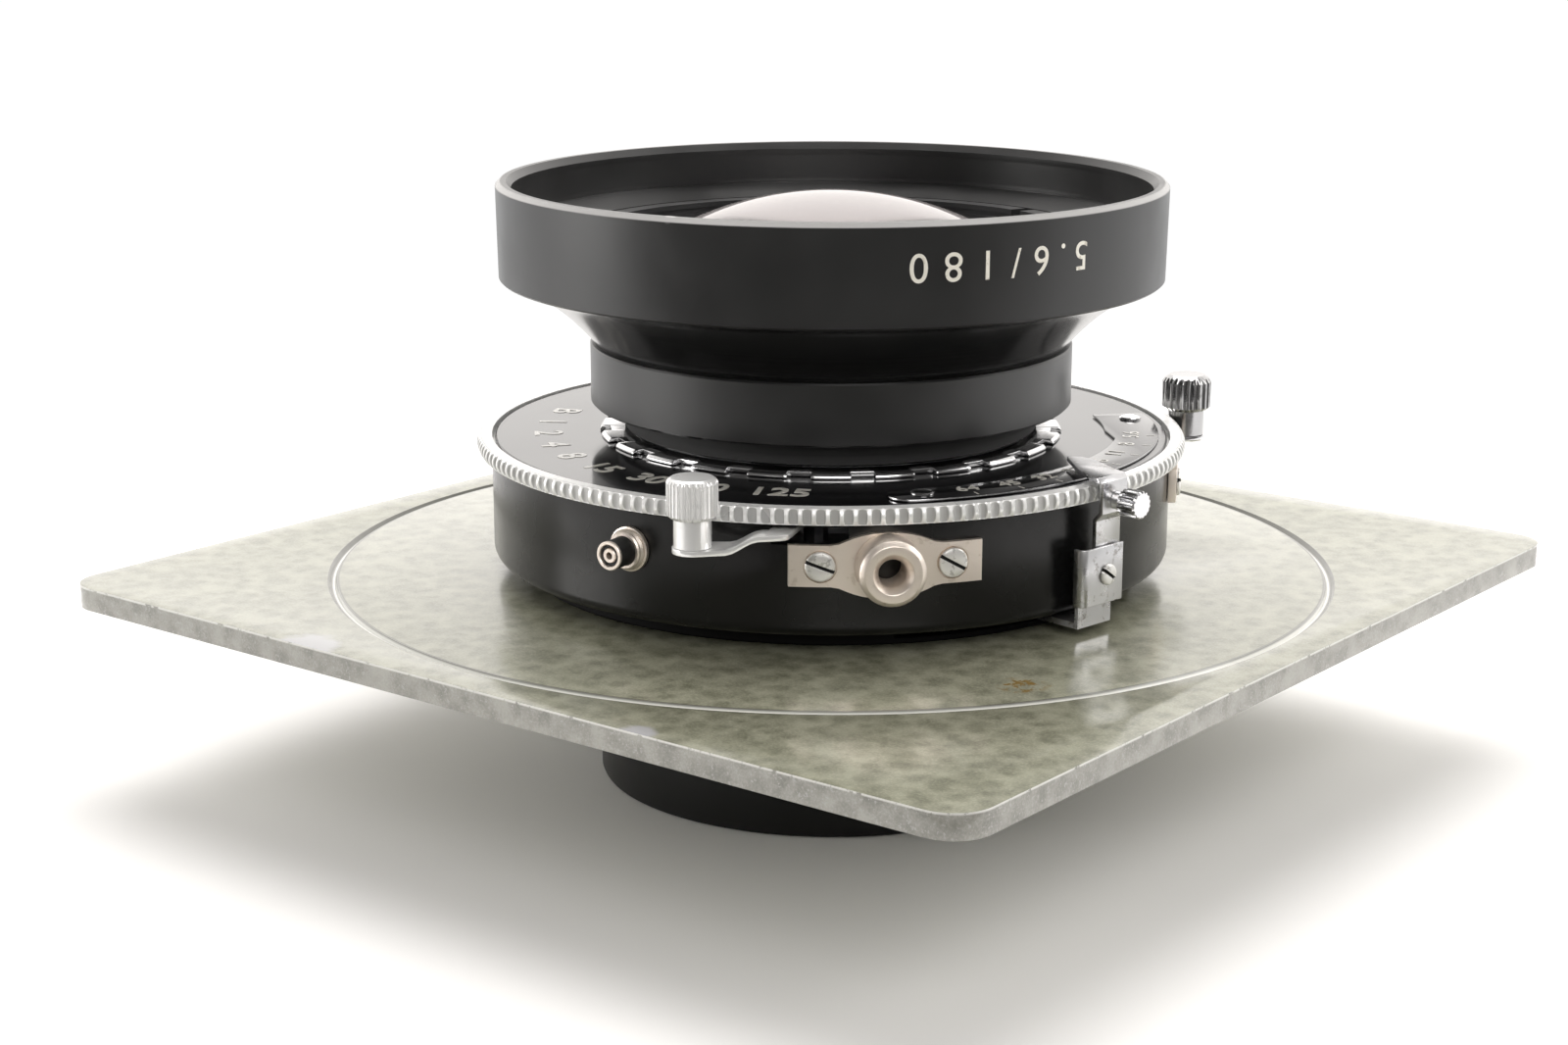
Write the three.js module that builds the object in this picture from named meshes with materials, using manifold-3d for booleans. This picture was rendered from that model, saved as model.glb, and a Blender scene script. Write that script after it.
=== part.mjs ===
// View camera lens in a press-type leaf shutter, mounted on a square lens board.
// Millimetres. +Z is the optical axis towards the subject, z = 0 is the rear rim that the lens
// stands on, and X and Y run along the board's edges. Angles are degrees about +Z.

import * as THREE from 'three';
import { mergeVertices } from 'three/addons/utils/BufferGeometryUtils.js';
import { ConvexGeometry } from 'three/addons/geometries/ConvexGeometry.js';
import Module from 'manifold-3d';

const wasm = await Module();
wasm.setup();

// Facets round a full turn, by how large the piece is
const bigFacets = 32;
const midFacets = 24;
const smallFacets = 14;
const tinyFacets = 8;
const pinFacets = 6;

// Gaps: flat seats, running fits round a shaft or a bore, pins in their cam slots, and the
// overrun of every cut
const seatGap = 0.06;
const runningGap = 0.3;
const camGap = 0.2;
const overrun = 1;

// The case radius is the size that the shutter, its tubes and the lens cells follow
const bodyRadius = 35.93;
const tubeShare = 0.5678;
const tubeOuterRadius = bodyRadius * tubeShare;
const tubeWall = 2.2;
const frontTubeRise = 0.7;
const frontTubeRadius = tubeOuterRadius + frontTubeRise;
const frontTubeWall = 1.15;
const tubeShoulder = 1.5;

// Lens board, with a shallow seat behind for the retaining ring
const boardSide = 114.3;
const boardThickness = 2.4;
const boardCornerRadius = 4;
const boardHoleClearance = 0.4;
const boardHoleRadius = tubeOuterRadius + boardHoleClearance;
const boardGrooveInset = 4.15;
const boardGrooveRadius = boardSide / 2 - boardGrooveInset;
const boardGrooveWidth = 1;
const boardGrooveDepth = 0.5;
const boardSeatMargin = 1.2;
const boardSeatDepth = 0.15;

// Rear cell
const rearCellOverhang = 4.4;
const rearCellRadius = tubeOuterRadius + rearCellOverhang;
const rearCellLength = 14.5;
const rearEdge = 0.5;
const rearRim = 2.2;
const rearRecessRadius = rearCellRadius - rearRim;
const rearRecessDepth = 4.7;
const rearRetainerWidth = 2.1;
const rearGlassRadius = rearRecessRadius - rearRetainerWidth;
const rearGlassEdge = 3.1;
const rearGlassSag = 3.4;
const rearGlassHollow = 2.5;
const rearCollarInset = 0.2;
const rearCollarRadius = tubeOuterRadius - rearCollarInset;
const rearCollarLength = 2.2;
const spigotClearance = 0.4;
const rearSpigotRadius = tubeOuterRadius - tubeWall - spigotClearance;
const rearSpigotLength = 6.6;
const cellWall = 2;
const cellBore = rearSpigotRadius - cellWall;
const rearInnerGlassRadius = cellBore - spigotClearance;
const rearInnerGlassSeat = 15.2;
const rearInnerGlassEdge = 1.6;
const rearInnerGlassHollow = 1.1;

// Shutter: rear flange with its tube, case, plates
const tubeStickOut = 3.16;
const tubeRise = 1;
const flangePlate = 0.5;
const flangeInset = 3.63;
const flangeRadius = bodyRadius - flangeInset;
const flangeRim = 0.6;
const bodyWall = 1.63;
const bodyHeight = 11.1;
const bodyWeb = 0.6;
const bodyLedge = 1.4;
const bodyLowerRound = 1.3;
const upperWall = 1.03;
const plateThickness = 0.6;
const mainPlateThickness = 0.8;

// Iris and shutter blades
const bladeCount = 5;
const bladeThickness = 0.25;
const bladePitch = 0.4;
const pinRadius = 0.45;
const clearInset = 0.8;
const clearRadius = cellBore - clearInset;
const irisPivotInset = 4.3;
const irisPivotRadius = flangeRadius - irisPivotInset;
const irisBandInset = 2.5;
const irisBandRadius = irisPivotRadius - irisBandInset;
const irisTipDeg = -4;
const irisSweepDeg = 110;
const irisEarRadius = 1.25;
const irisPinArm = 5;
const irisClosedDeg = 28.3;
const leverOpenDeg = 33.5;
const leverClosedDeg = 25.2;
const shutterInnerRadius = clearRadius + runningGap;
const shutterPivotInset = 3.3;
const shutterPivotRadius = bodyRadius - bodyWall - shutterPivotInset;
const shutterBandInset = 1.7;
const shutterBandRadius = shutterPivotRadius - shutterBandInset;
const shutterTipDeg = -3;
const shutterSweepDeg = 105;
const shutterEarRadius = 1.5;
const earInset = 1.5;
const shutterPinArm = 3.2;
const shutterTurnDeg = 30.9;
const postRadius = 0.55;

// Dial side: knurled speed ring, face plate, slotted ring, aperture scale
const speedRingOverhang = 1.57;
const speedRingRadius = bodyRadius + speedRingOverhang;
const speedRingHeight = 1.62;
const speedRingWidth = 1.6;
const speedRingBore = speedRingRadius - speedRingWidth;
const speedToothCount = 180;
const speedToothDepth = 0.42;
const speedFlangeLap = 0.4;
const speedFlangeRadius = speedRingBore + speedFlangeLap;
const speedFlangeThickness = 0.62;
const speedFlangeWidth = 2.3;
const speedCamRadius = speedRingBore - speedFlangeWidth;
const speedCamStep = 0.3;
const speedCamSteps = 9;
const speedCamSpanDeg = 110;
const facePlateRadius = speedRingBore - runningGap;
const facePlateThickness = 0.5;
const faceDrop = 0.2;
const slottedRingWidth = 3.4;
const slottedRingRadius = frontTubeRadius + slottedRingWidth;
const slottedRingThickness = 0.5;
const slottedRingNotches = 24;
const slottedNotchWidth = 2.4;
const slottedNotchDepth = 1.1;
const scaleInset = 0.9;
const scaleOuterRadius = facePlateRadius - scaleInset;
const scaleWidth = 4.4;
const scaleInnerRadius = scaleOuterRadius - scaleWidth;
const scaleTabStep = 1.2;
const scaleTabRadius = scaleInnerRadius - scaleTabStep;
const scaleThickness = 0.24;
const scaleRivetRadius = 1.15;
const scaleRivetHeight = 0.3;

// Front cell
const neckFootRadius = frontTubeRadius + tubeShoulder;
const neckFootStep = 0.8;
const neckFoot = 2.5;
const neckOverhang = 2.82;
const neckRadius = neckFootRadius + neckOverhang;
const neckLength = 6.46;
const neckEdge = 0.25;
const frontSpigotLength = 5.1;
const frontInnerSeat = 2;
const frontInnerGlassLip = 0.7;
const frontInnerGlassRadius = cellBore + frontInnerGlassLip;
const frontInnerGlassEdge = 2;
const frontInnerGlassHollow = 1.6;
const frontGlassInset = 0.42;
const frontGlassRadius = neckRadius - frontGlassInset;
const frontGlassEdge = 3.2;
const frontGlassBevel = 0.7;
const frontGlassDrop = 4.56;
const domeShare = 1.44;
const frontDomeRadius = frontGlassRadius * domeShare;
const frontDomeDrop = 1.48;
const frontGlassHollow = 4;
const frontSeatInset = 2.5;
const frontRetainerWidth = 2.9;
const frontRetainerRadius = frontGlassRadius + frontRetainerWidth;
const frontRetainerHeight = 4.4;
const frontRetainerStep = 0.7;
const frontRetainerLift = 1.54;
const retainerSlotDeg = 75.2;
const filterShelf = 5.45;
const filterBore = frontRetainerRadius + filterShelf;
const filterLedge = 0.7;
const filterDepth = 3.5;
const filterChamfer = 1.08;
const flareHeight = 6.77;
const flareInset = 0.7;
const ringWall = 1.65;
const ringRadius = filterBore + ringWall;
const ringTaper = 0.2;
const ringLength = 10.09;
const rimBevel = 0.45;

// Controls round the case, as angles about the optical axis
const leverAngleDeg = -8;
const releaseAngleDeg = -59.2;
const focusAngleDeg = 66.7;
const cableAngleDeg = -44.1;
const sidePlateAngleDeg = 35.3;
const syncAngleDeg = -85;
const scaleStartDeg = -39.1;
const scaleEndDeg = 49.3;
const scaleTabStartDeg = 29.3;
const scaleRivetsDeg = [-37, 44.1];
const irisBaseDeg = 20;
const shutterBaseDeg = 50;

// Thumb levers: one plate on an inner post, a gooseneck arm and a fluted knob
const leverPlate = 0.5;
const leverPostRadius = 1.2;
const leverHubRadius = 2.2;
const leverHubClearance = 0.55;
const leverPostX = frontTubeRadius + tubeShoulder + leverHubRadius + leverHubClearance;
const leverPostY = 1.5;
const leverArmWidth = 2.3;
const leverReach = 1.97;
const leverArmX = bodyRadius + leverReach;
const releaseKnobStandOut = 3.8;
const releaseKnobX = bodyRadius + releaseKnobStandOut;
const focusKnobStandOut = 4.6;
const focusKnobX = bodyRadius + focusKnobStandOut;
const leverKnobY = -8.37;
const leverDrop = 1.15;
const leverSlopeStart = -2.2;
const leverSlopeEnd = -5.2;
const releaseKnobRadius = 2.45;
const focusKnobRadius = 2.67;
const knobHeight = 3.9;
const knobFlutes = 18;
const knobFluteDepth = 0.2;
const releaseStemRadius = 1.8;
const focusStemRadius = 2;
const knobStemHeight = 2.75;
const thumbTravelDeg = 22;
const linkTravelDeg = 4.3;
const linkInset = 4.03;
const linkX = bodyRadius - linkInset;
const linkPinRadius = 0.5;

// Aperture lever: upright tab of the iris ring, pointer arm, sleeve and grip knob
const tabInset = 0.3;
const tabInnerRadius = speedRingRadius - tabInset;
const tabThickness = 0.4;
const armThickness = 0.45;
const sleeveThickness = 0.35;
const tabLeft = -3.2;
const tabRight = 1.75;
const sleeveRight = 2.35;
const armLeft = -1.4;
const armRight = 2.2;
const tabHeight = 7.58;
const sleeveLift = 2.28;
const sleeveHeight = 5.8;
const armLift = 3.58;
const jogDrop = 1.58;
const jogRise = 0.8;
const jogOut = 0.75;
const pointerLift = 0.55;
const pointerOverlap = 0.3;
const pointerTipRadius = scaleInnerRadius - pointerOverlap;
const gripRadius = 1.38;
const gripLength = 2.3;
const gripNeckRadius = 0.9;
const gripNeckLength = 1.65;
const gripFlutes = 12;
const gripOffset = 0.6;
const gripDrop = 1.4;
const leverScrewRadius = 1.05;
const leverScrewHeight = 0.4;
const leverScrewLift = 5.18;

// Plates and sockets on the case wall
const wallPlateDrop = 3.81;
const cablePlateLength = 18.6;
const cablePlateHeight = 4.05;
const cablePlateThickness = 0.6;
const cablePlateFlare = 1.9;
const cableBushRadius = 3.2;
const cableBushLength = 3.4;
const cableBushBevel = 0.5;
const cableTailRadius = 1.9;
const cableHoleRadius = 1.33;
const cableCountersink = 0.57;
const plateScrewRadius = 1.45;
const plateScrewHeight = 0.35;
const plateScrewAngleDeg = 10;
const screwSlotWidth = 0.32;
const sidePlateDrop = 2.73;
const sidePlateLength = 12.8;
const sidePlateHeight = 3.5;
const sidePlateThickness = 0.8;
const sideScrewAngleDeg = 6.4;
const syncDrop = 3.75;
const syncCollarRadius = 2.2;
const syncCollarLength = 1.2;
const syncSleeveRadius = 1.42;
const syncLength = 3.6;
const syncShellWall = 0.35;
const syncContactRadius = 0.73;
const syncHoleRadius = 0.36;
const syncRecess = 0.3;

// Retaining ring behind the board
const retainingWidth = 3.8;
const retainingRadius = tubeOuterRadius + retainingWidth;
const retainingThickness = 2.8;
const retainingNotch = 2.4;
const retainingNotchDepth = 1;

// Stations along the optical axis, stacked from the rear rim
const tubeEndZ = rearCellLength + rearCollarLength + runningGap;
const boardBackZ = tubeEndZ + tubeStickOut;
const boardFrontZ = boardBackZ + boardThickness;
const flangeZ = boardFrontZ + seatGap;
const flangeTopZ = flangeZ + flangePlate;
const irisRingZ = flangeTopZ + runningGap;
const irisStackZ = irisRingZ + plateThickness + runningGap;
const stackHeight = (bladeCount - 1) * bladePitch + bladeThickness;
const bodyBottomZ = irisStackZ + seatGap;
const bladePlateZ = irisStackZ + stackHeight + runningGap + seatGap;
const shutterStackZ = bladePlateZ + plateThickness + runningGap;
const bladeRingZ = shutterStackZ + stackHeight + runningGap;
const mainPlateZ = bladeRingZ + plateThickness + runningGap;
const mainPlateTopZ = mainPlateZ + mainPlateThickness;
const bodyTopZ = bodyBottomZ + bodyHeight;
const speedRingZ = bodyTopZ + runningGap;
const speedRingTopZ = speedRingZ + speedRingHeight;
const faceZ = speedRingTopZ - faceDrop;
const faceBackZ = faceZ - facePlateThickness;
const slottedRingZ = faceZ + seatGap;
const tubeTopZ = slottedRingZ + slottedRingThickness;
const frontSeatZ = tubeTopZ + runningGap;
const neckBottomZ = frontSeatZ + neckFoot;
const neckTopZ = neckBottomZ + neckLength;
const ringBottomZ = neckTopZ + flareHeight;
const ringTopZ = ringBottomZ + ringLength;
const leverZ = bodyTopZ - runningGap - leverPlate;
const wallPlateZ = bodyTopZ - wallPlateDrop;
const sidePlateZ = bodyTopZ - sidePlateDrop;
const syncZ = bodyTopZ - syncDrop;
const sleeveZ = irisRingZ + sleeveLift;
const armBottomZ = irisRingZ + armLift;
const leverScrewZ = irisRingZ + leverScrewLift;
const jogStartZ = speedRingZ - jogDrop;

// Finishes
const finish = (color, metalness, roughness) =>
  new THREE.MeshStandardMaterial({ color, metalness, roughness, flatShading: true });
const blackAnodised = finish(0x1c1c1e, 0.5, 0.45);
const blackPaint = finish(0x161617, 0.1, 0.3);
const glossBlack = finish(0x0c0c0d, 0.1, 0.12);
const chrome = finish(0xd8d8da, 1, 0.18);
const steel = finish(0xa8a9ab, 1, 0.38);
const nickel = finish(0xb5a896, 1, 0.32);
const bladeSteel = finish(0x2a2b2e, 0.6, 0.5);
const opticalGlass = finish(0xb9a7a4, 0.1, 0.05);
const hammertone = finish(0x8d907f, 0.2, 0.35);
const insulator = finish(0x111112, 0, 0.5);

const assembly = new THREE.Group();

const rad = THREE.MathUtils.degToRad;
const polar = (radius, deg) => new THREE.Vector2(radius * Math.cos(rad(deg)), radius * Math.sin(rad(deg)));
const turnAbout = (point, centre, deg) => point.clone().rotateAround(centre, rad(deg));

// Points along an arc about a centre, ends included
function arc(radius, fromDeg, toDeg, steps, centre = new THREE.Vector2()) {
  return Array.from({ length: steps + 1 }, (_, i) =>
    polar(radius, fromDeg + ((toDeg - fromDeg) * i) / steps).add(centre));
}

// A closed three.js geometry as a solid with its faces pointing out
function solidOf(geometry) {
  const bare = new THREE.BufferGeometry();
  bare.setAttribute('position', geometry.getAttribute('position'));
  bare.setIndex(geometry.index);
  const merged = mergeVertices(bare);
  const place = merged.getAttribute('position');
  const corners = [0, 1, 2].map(() => new THREE.Vector3());
  const faces = [];
  let volume = 0;
  for (let i = 0; i < merged.index.count; i += 3) {
    const face = [0, 1, 2].map((k) => merged.index.getX(i + k));
    if (new Set(face).size < 3) continue;
    face.forEach((vertex, k) => corners[k].fromBufferAttribute(place, vertex));
    volume += corners[0].dot(corners[1].cross(corners[2]));
    faces.push(face);
  }
  if (volume < 0) faces.forEach((face) => face.reverse());
  return new wasm.Manifold(new wasm.Mesh({
    numProp: 3,
    vertProperties: new Float32Array(place.array),
    triVerts: new Uint32Array(faces.flat()),
  }));
}

// A turned piece: a closed profile of radius and height, spun about Z
function turned(profile, facets) {
  const points = profile.map(([radius, z]) => new THREE.Vector2(radius, z));
  points.push(points[0].clone());
  return solidOf(new THREE.LatheGeometry(points, facets).rotateX(Math.PI / 2));
}

// A flat piece: an outline with holes, from one height up by a thickness
function flat(outline, z, thickness, holes = []) {
  const shape = new THREE.Shape(outline);
  shape.holes = holes.map((hole) => new THREE.Path(hole));
  const geometry = new THREE.ExtrudeGeometry(shape, { depth: thickness, bevelEnabled: false });
  return solidOf(geometry.translate(0, 0, z));
}

const disc = (radius, facets, centre) => arc(radius, 0, 360, facets, centre).slice(0, -1);
const washer = (inner, outer, z, thickness, facets) =>
  flat(disc(outer, facets), z, thickness, [disc(inner, facets)]);
const sector = (inner, outer, fromDeg, toDeg, steps) =>
  [...arc(outer, fromDeg, toDeg, steps), ...arc(inner, toDeg, fromDeg, steps)];
const rectangle = (left, right, low, high) => [
  new THREE.Vector2(left, low), new THREE.Vector2(right, low),
  new THREE.Vector2(right, high), new THREE.Vector2(left, high)];

// The outline that wraps a set of round bosses, as a plate
function hullPlate(circles, z, thickness) {
  const points = circles.flatMap(([centre, radius]) =>
    disc(radius, pinFacets, centre).flatMap((p) =>
      [new THREE.Vector3(p.x, p.y, z), new THREE.Vector3(p.x, p.y, z + thickness)]));
  return solidOf(new ConvexGeometry(points));
}

// A slot of constant width that follows a path, with round ends
function slotOutline(path, halfWidth) {
  const headings = path.map((point, i) =>
    path[Math.min(i + 1, path.length - 1)].clone().sub(path[Math.max(i - 1, 0)]).angle());
  const side = (sign) => path.map((point, i) =>
    polar(halfWidth, THREE.MathUtils.radToDeg(headings[i]) + sign * 90).add(point));
  const cap = (point, heading) => arc(halfWidth, heading + 90, heading - 90, 3, point).slice(1, -1);
  const last = path.length - 1;
  return [
    ...side(1), ...cap(path[last], THREE.MathUtils.radToDeg(headings[last])),
    ...side(-1).reverse(), ...cap(path[0], THREE.MathUtils.radToDeg(headings[0]) + 180)].reverse();
}

// A named piece in the assembly, made from its finished solid
function piece(name, solid, material, parent = assembly) {
  const { vertProperties, triVerts } = solid.getMesh();
  const geometry = new THREE.BufferGeometry();
  geometry.setAttribute('position', new THREE.BufferAttribute(vertProperties, 3));
  geometry.setIndex(new THREE.BufferAttribute(triVerts, 1));
  geometry.computeVertexNormals();
  const mesh = new THREE.Mesh(geometry, material);
  mesh.name = name;
  parent.add(mesh);
  return mesh;
}

// A group whose +X points outwards at an angle round the optical axis
function station(deg) {
  const group = new THREE.Group();
  group.rotation.z = rad(deg);
  assembly.add(group);
  return group;
}

// A turned piece whose axis lies along +X, at a height and a sideways offset
const radial = (profile, facets, z, y = 0) =>
  solidOf(new THREE.LatheGeometry(
    [...profile, profile[0]].map(([radius, x]) => new THREE.Vector2(radius, x)), facets)
    .rotateZ(-Math.PI / 2).translate(0, y, z));

// A spherical surface's profile from its edge to the axis
function domeProfile(edgeRadius, edgeZ, apexZ, steps) {
  const sag = apexZ - edgeZ;
  const sphere = (edgeRadius ** 2 + sag ** 2) / (2 * sag);
  return Array.from({ length: steps + 1 }, (_, i) => {
    const radius = edgeRadius * (1 - i / steps);
    return [radius, apexZ - sphere + Math.sign(sphere) * Math.sqrt(sphere ** 2 - radius ** 2)];
  });
}

// Lens board: square plate with rounded corners, a round hole and a groove turned in its face
function lensBoard() {
  const half = boardSide / 2 - boardCornerRadius;
  const outline = [[half, half, 0], [-half, half, 90], [-half, -half, 180], [half, -half, 270]]
    .flatMap(([x, y, start]) => arc(boardCornerRadius, start, start + 90, 3, new THREE.Vector2(x, y)));
  const board = flat(outline, boardBackZ, boardThickness, [disc(boardHoleRadius, midFacets)]);
  const groove = turned([
    [boardGrooveRadius - boardGrooveWidth / 2, boardFrontZ + seatGap],
    [boardGrooveRadius, boardFrontZ - boardGrooveDepth],
    [boardGrooveRadius + boardGrooveWidth / 2, boardFrontZ + seatGap]], 2 * midFacets);
  const seat = flat(disc(rearCellRadius + boardSeatMargin, midFacets), boardBackZ - overrun,
    overrun + boardSeatDepth);
  return board.subtract(groove).subtract(seat);
}

// Ring nut that clamps the shutter's tube behind the board, with four spanner notches
function retainingRing() {
  const z = boardBackZ + boardSeatDepth - seatGap - retainingThickness;
  const ring = washer(tubeOuterRadius + runningGap, retainingRadius, z, retainingThickness, midFacets);
  const reach = retainingRadius + overrun;
  const half = retainingNotch / 2;
  const notch = (outline) => flat(outline, z - overrun, overrun + retainingNotchDepth);
  const across = notch(rectangle(-reach, reach, -half, half));
  const along = notch(rectangle(-half, half, -reach, reach));
  return ring.subtract(across).subtract(along);
}

// Rear flange: a tube through the board, a thin plate and a low rim with a window for the lever
function rearFlange() {
  const rimTop = bodyBottomZ - seatGap;
  const rimInner = flangeRadius - flangeRim;
  const flange = turned([
    [tubeOuterRadius - tubeWall, tubeEndZ], [tubeOuterRadius, tubeEndZ], [tubeOuterRadius, flangeZ],
    [flangeRadius, flangeZ], [flangeRadius, rimTop], [rimInner, rimTop], [rimInner, flangeTopZ],
    [tubeOuterRadius, flangeTopZ], [tubeOuterRadius, flangeTopZ + tubeRise],
    [tubeOuterRadius - tubeWall, flangeTopZ + tubeRise]], midFacets);
  const half = THREE.MathUtils.radToDeg(Math.asin((runningGap * 4 - tabLeft) / rimInner));
  const from = leverAngleDeg - leverClosedDeg - half;
  const to = leverAngleDeg + leverOpenDeg + half;
  const window = flat(sector(rimInner - overrun, flangeRadius + overrun, from, to, smallFacets / 2),
    flangeTopZ + seatGap, rimTop);
  return flange.subtract(window);
}

// Shutter case: the outer drum, with ledges for the plates, two lever slots and two bores
function shutterCase() {
  const inner = bodyRadius - bodyWall;
  const ledge = inner - bodyLedge;
  const webInner = flangeRadius - flangeRim - bodyWeb;
  const round = bodyLowerRound;
  const drum = turned([
    [webInner, bodyBottomZ], [bodyRadius - round, bodyBottomZ],
    ...arc(round, -30, 0, 1).map((p) => [bodyRadius - round + p.x, bodyBottomZ + round + p.y]),
    [bodyRadius, bodyTopZ], [bodyRadius - upperWall, bodyTopZ],
    [bodyRadius - upperWall, mainPlateZ - seatGap], [inner, mainPlateZ - seatGap],
    [inner, bladePlateZ - seatGap], [ledge, bladePlateZ - seatGap],
    [ledge, bodyBottomZ + bodyWeb], [webInner, bodyBottomZ + bodyWeb]], bigFacets);
  const post = new THREE.Vector2(leverPostX, leverPostY);
  const swung = turnAbout(new THREE.Vector2(bodyRadius, 0), post, thumbTravelDeg);
  const halfArm = THREE.MathUtils.radToDeg((leverArmWidth / 2 + runningGap) / inner);
  const slotEnd = THREE.MathUtils.radToDeg(swung.angle()) + 1.2 * halfArm;
  const slot = (deg) => flat(
    sector(inner - overrun, bodyRadius + overrun, deg - halfArm, deg + slotEnd, 4),
    leverZ - leverDrop, leverDrop + leverPlate + runningGap / 2);
  const bore = (deg, z, radius) => radial(
    [[0, inner - overrun], [radius, inner - overrun], [radius, bodyRadius + overrun],
      [0, bodyRadius + overrun]], tinyFacets, z).rotate([0, 0, deg]);
  return drum.subtract(slot(releaseAngleDeg)).subtract(slot(focusAngleDeg))
    .subtract(bore(cableAngleDeg, wallPlateZ, cableTailRadius + runningGap))
    .subtract(bore(syncAngleDeg, syncZ, syncSleeveRadius + runningGap));
}

// Pivot of each blade and its drive pin, in the blade's own frame with the blade fully open
const irisPivot = new THREE.Vector2(irisPivotRadius, 0);
const irisPin = polar(irisPinArm, -105).add(irisPivot);
const irisRestDeg = (irisClosedDeg * leverOpenDeg) / (leverOpenDeg + leverClosedDeg);
const shutterPivot = new THREE.Vector2(shutterPivotRadius, 0);
const shutterPin = polar(shutterPinArm, -101).add(shutterPivot);

// Plate between the iris and the shutter blades: bearing holes below, blade posts above
function bladePlate() {
  const copies = Array.from({ length: bladeCount }, (_, i) => (360 * i) / bladeCount);
  const holes = copies.map((deg) =>
    disc(pinRadius + camGap, tinyFacets, polar(irisPivotRadius, irisBaseDeg + deg)));
  let plate = flat(disc(bodyRadius - bodyWall - runningGap, midFacets), bladePlateZ, plateThickness,
    [disc(clearRadius, midFacets), ...holes]);
  for (const deg of copies) {
    const centre = polar(shutterPivotRadius, shutterBaseDeg + deg);
    plate = plate.add(flat(disc(postRadius, tinyFacets, centre), bladePlateZ,
      bladeRingZ - runningGap / 2 - bladePlateZ));
  }
  return plate;
}

// Main plate with the front tube; an arc slot lets the blade ring's link pin through
function mainPlate() {
  const bore = frontTubeRadius - frontTubeWall;
  const shoulder = frontTubeRadius + tubeShoulder;
  const plate = turned([
    [bore, bladeRingZ - runningGap / 2], [frontTubeRadius, bladeRingZ - runningGap / 2],
    [frontTubeRadius, mainPlateZ], [bodyRadius - upperWall - runningGap, mainPlateZ],
    [bodyRadius - upperWall - runningGap, mainPlateTopZ], [shoulder, mainPlateTopZ],
    [shoulder, faceBackZ - seatGap], [frontTubeRadius, faceBackZ - seatGap],
    [frontTubeRadius, tubeTopZ], [bore, tubeTopZ]], midFacets);
  const path = arc(linkX, focusAngleDeg, focusAngleDeg + linkTravelDeg, 2);
  return plate.subtract(flat(slotOutline(path, linkPinRadius + runningGap), mainPlateZ - overrun,
    mainPlateThickness + 2 * overrun));
}

// Knurled speed ring: a straight-knurled rim over a flange whose bore is the speed cam
function speedRing() {
  const pitch = 360 / speedToothCount;
  const rim = Array.from({ length: speedToothCount }, (_, i) => [
    polar(speedRingRadius, pitch * (i - 0.3)), polar(speedRingRadius, pitch * (i + 0.3)),
    polar(speedRingRadius - speedToothDepth, pitch * (i + 0.5))]).flat();
  const knurled = flat(rim, speedRingZ, speedRingHeight, [disc(speedRingBore, bigFacets)]);
  const stepDeg = speedCamSpanDeg / speedCamSteps;
  const cam = Array.from({ length: speedCamSteps }, (_, i) =>
    arc(speedCamRadius - speedCamStep * (i + 1), i * stepDeg, (i + 1) * stepDeg, 1)).flat();
  const rest = arc(speedCamRadius, speedCamSpanDeg, 360, midFacets / 2);
  const flange = flat(disc(speedFlangeRadius, bigFacets), speedRingZ, speedFlangeThickness,
    [[...cam, ...rest.slice(0, -1)]]);
  return knurled.add(flange);
}

// Face plate: the black dial, with a small bevel round its edge
function facePlate() {
  const bore = frontTubeRadius + runningGap;
  const bevel = faceDrop;
  return turned([
    [bore, faceBackZ], [facePlateRadius, faceBackZ], [facePlateRadius, faceZ - bevel],
    [facePlateRadius - bevel, faceZ], [bore, faceZ]], bigFacets);
}

// Slotted ring: a thin nut that holds the face plate, notched all round for a spanner
function slottedRing() {
  const bore = frontTubeRadius + runningGap;
  const floor = slottedRingRadius - slottedNotchDepth;
  const pitch = 360 / slottedRingNotches;
  const half = THREE.MathUtils.radToDeg(slottedNotchWidth / 2 / slottedRingRadius);
  const outline = Array.from({ length: slottedRingNotches }, (_, i) => [
    polar(floor, pitch * i - half), polar(floor, pitch * i + half),
    polar(slottedRingRadius, pitch * i + half), polar(slottedRingRadius, pitch * (i + 1) - half)]).flat();
  return flat(outline, slottedRingZ, slottedRingThickness, [disc(bore, midFacets)]);
}

// Aperture scale: a thin curved plate, round at one end and wider under its rivet at the other
function apertureScale() {
  const middle = (scaleOuterRadius + scaleInnerRadius) / 2;
  const half = (scaleOuterRadius - scaleInnerRadius) / 2;
  const roundEnd = arc(half, scaleStartDeg + 180, scaleStartDeg + 360, 6, polar(middle, scaleStartDeg));
  const outline = [
    ...roundEnd.slice(1, -1), ...arc(scaleOuterRadius, scaleStartDeg, scaleEndDeg, 16),
    ...arc(scaleTabRadius, scaleEndDeg, scaleTabStartDeg, 3),
    ...arc(scaleInnerRadius, scaleTabStartDeg, scaleStartDeg, 12)];
  return flat(outline, faceZ + seatGap, scaleThickness);
}

// A low domed rivet or screw head at a place on the dial
const dialRivet = (deg) => turned([
  [0, 0], [scaleRivetRadius, 0], [scaleRivetRadius, scaleRivetHeight / 2],
  [scaleRivetRadius / 2, scaleRivetHeight], [0, scaleRivetHeight]], tinyFacets)
  .translate([...polar((scaleOuterRadius + scaleInnerRadius) / 2, deg).toArray(),
    faceZ + scaleThickness + 2 * seatGap]);

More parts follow.
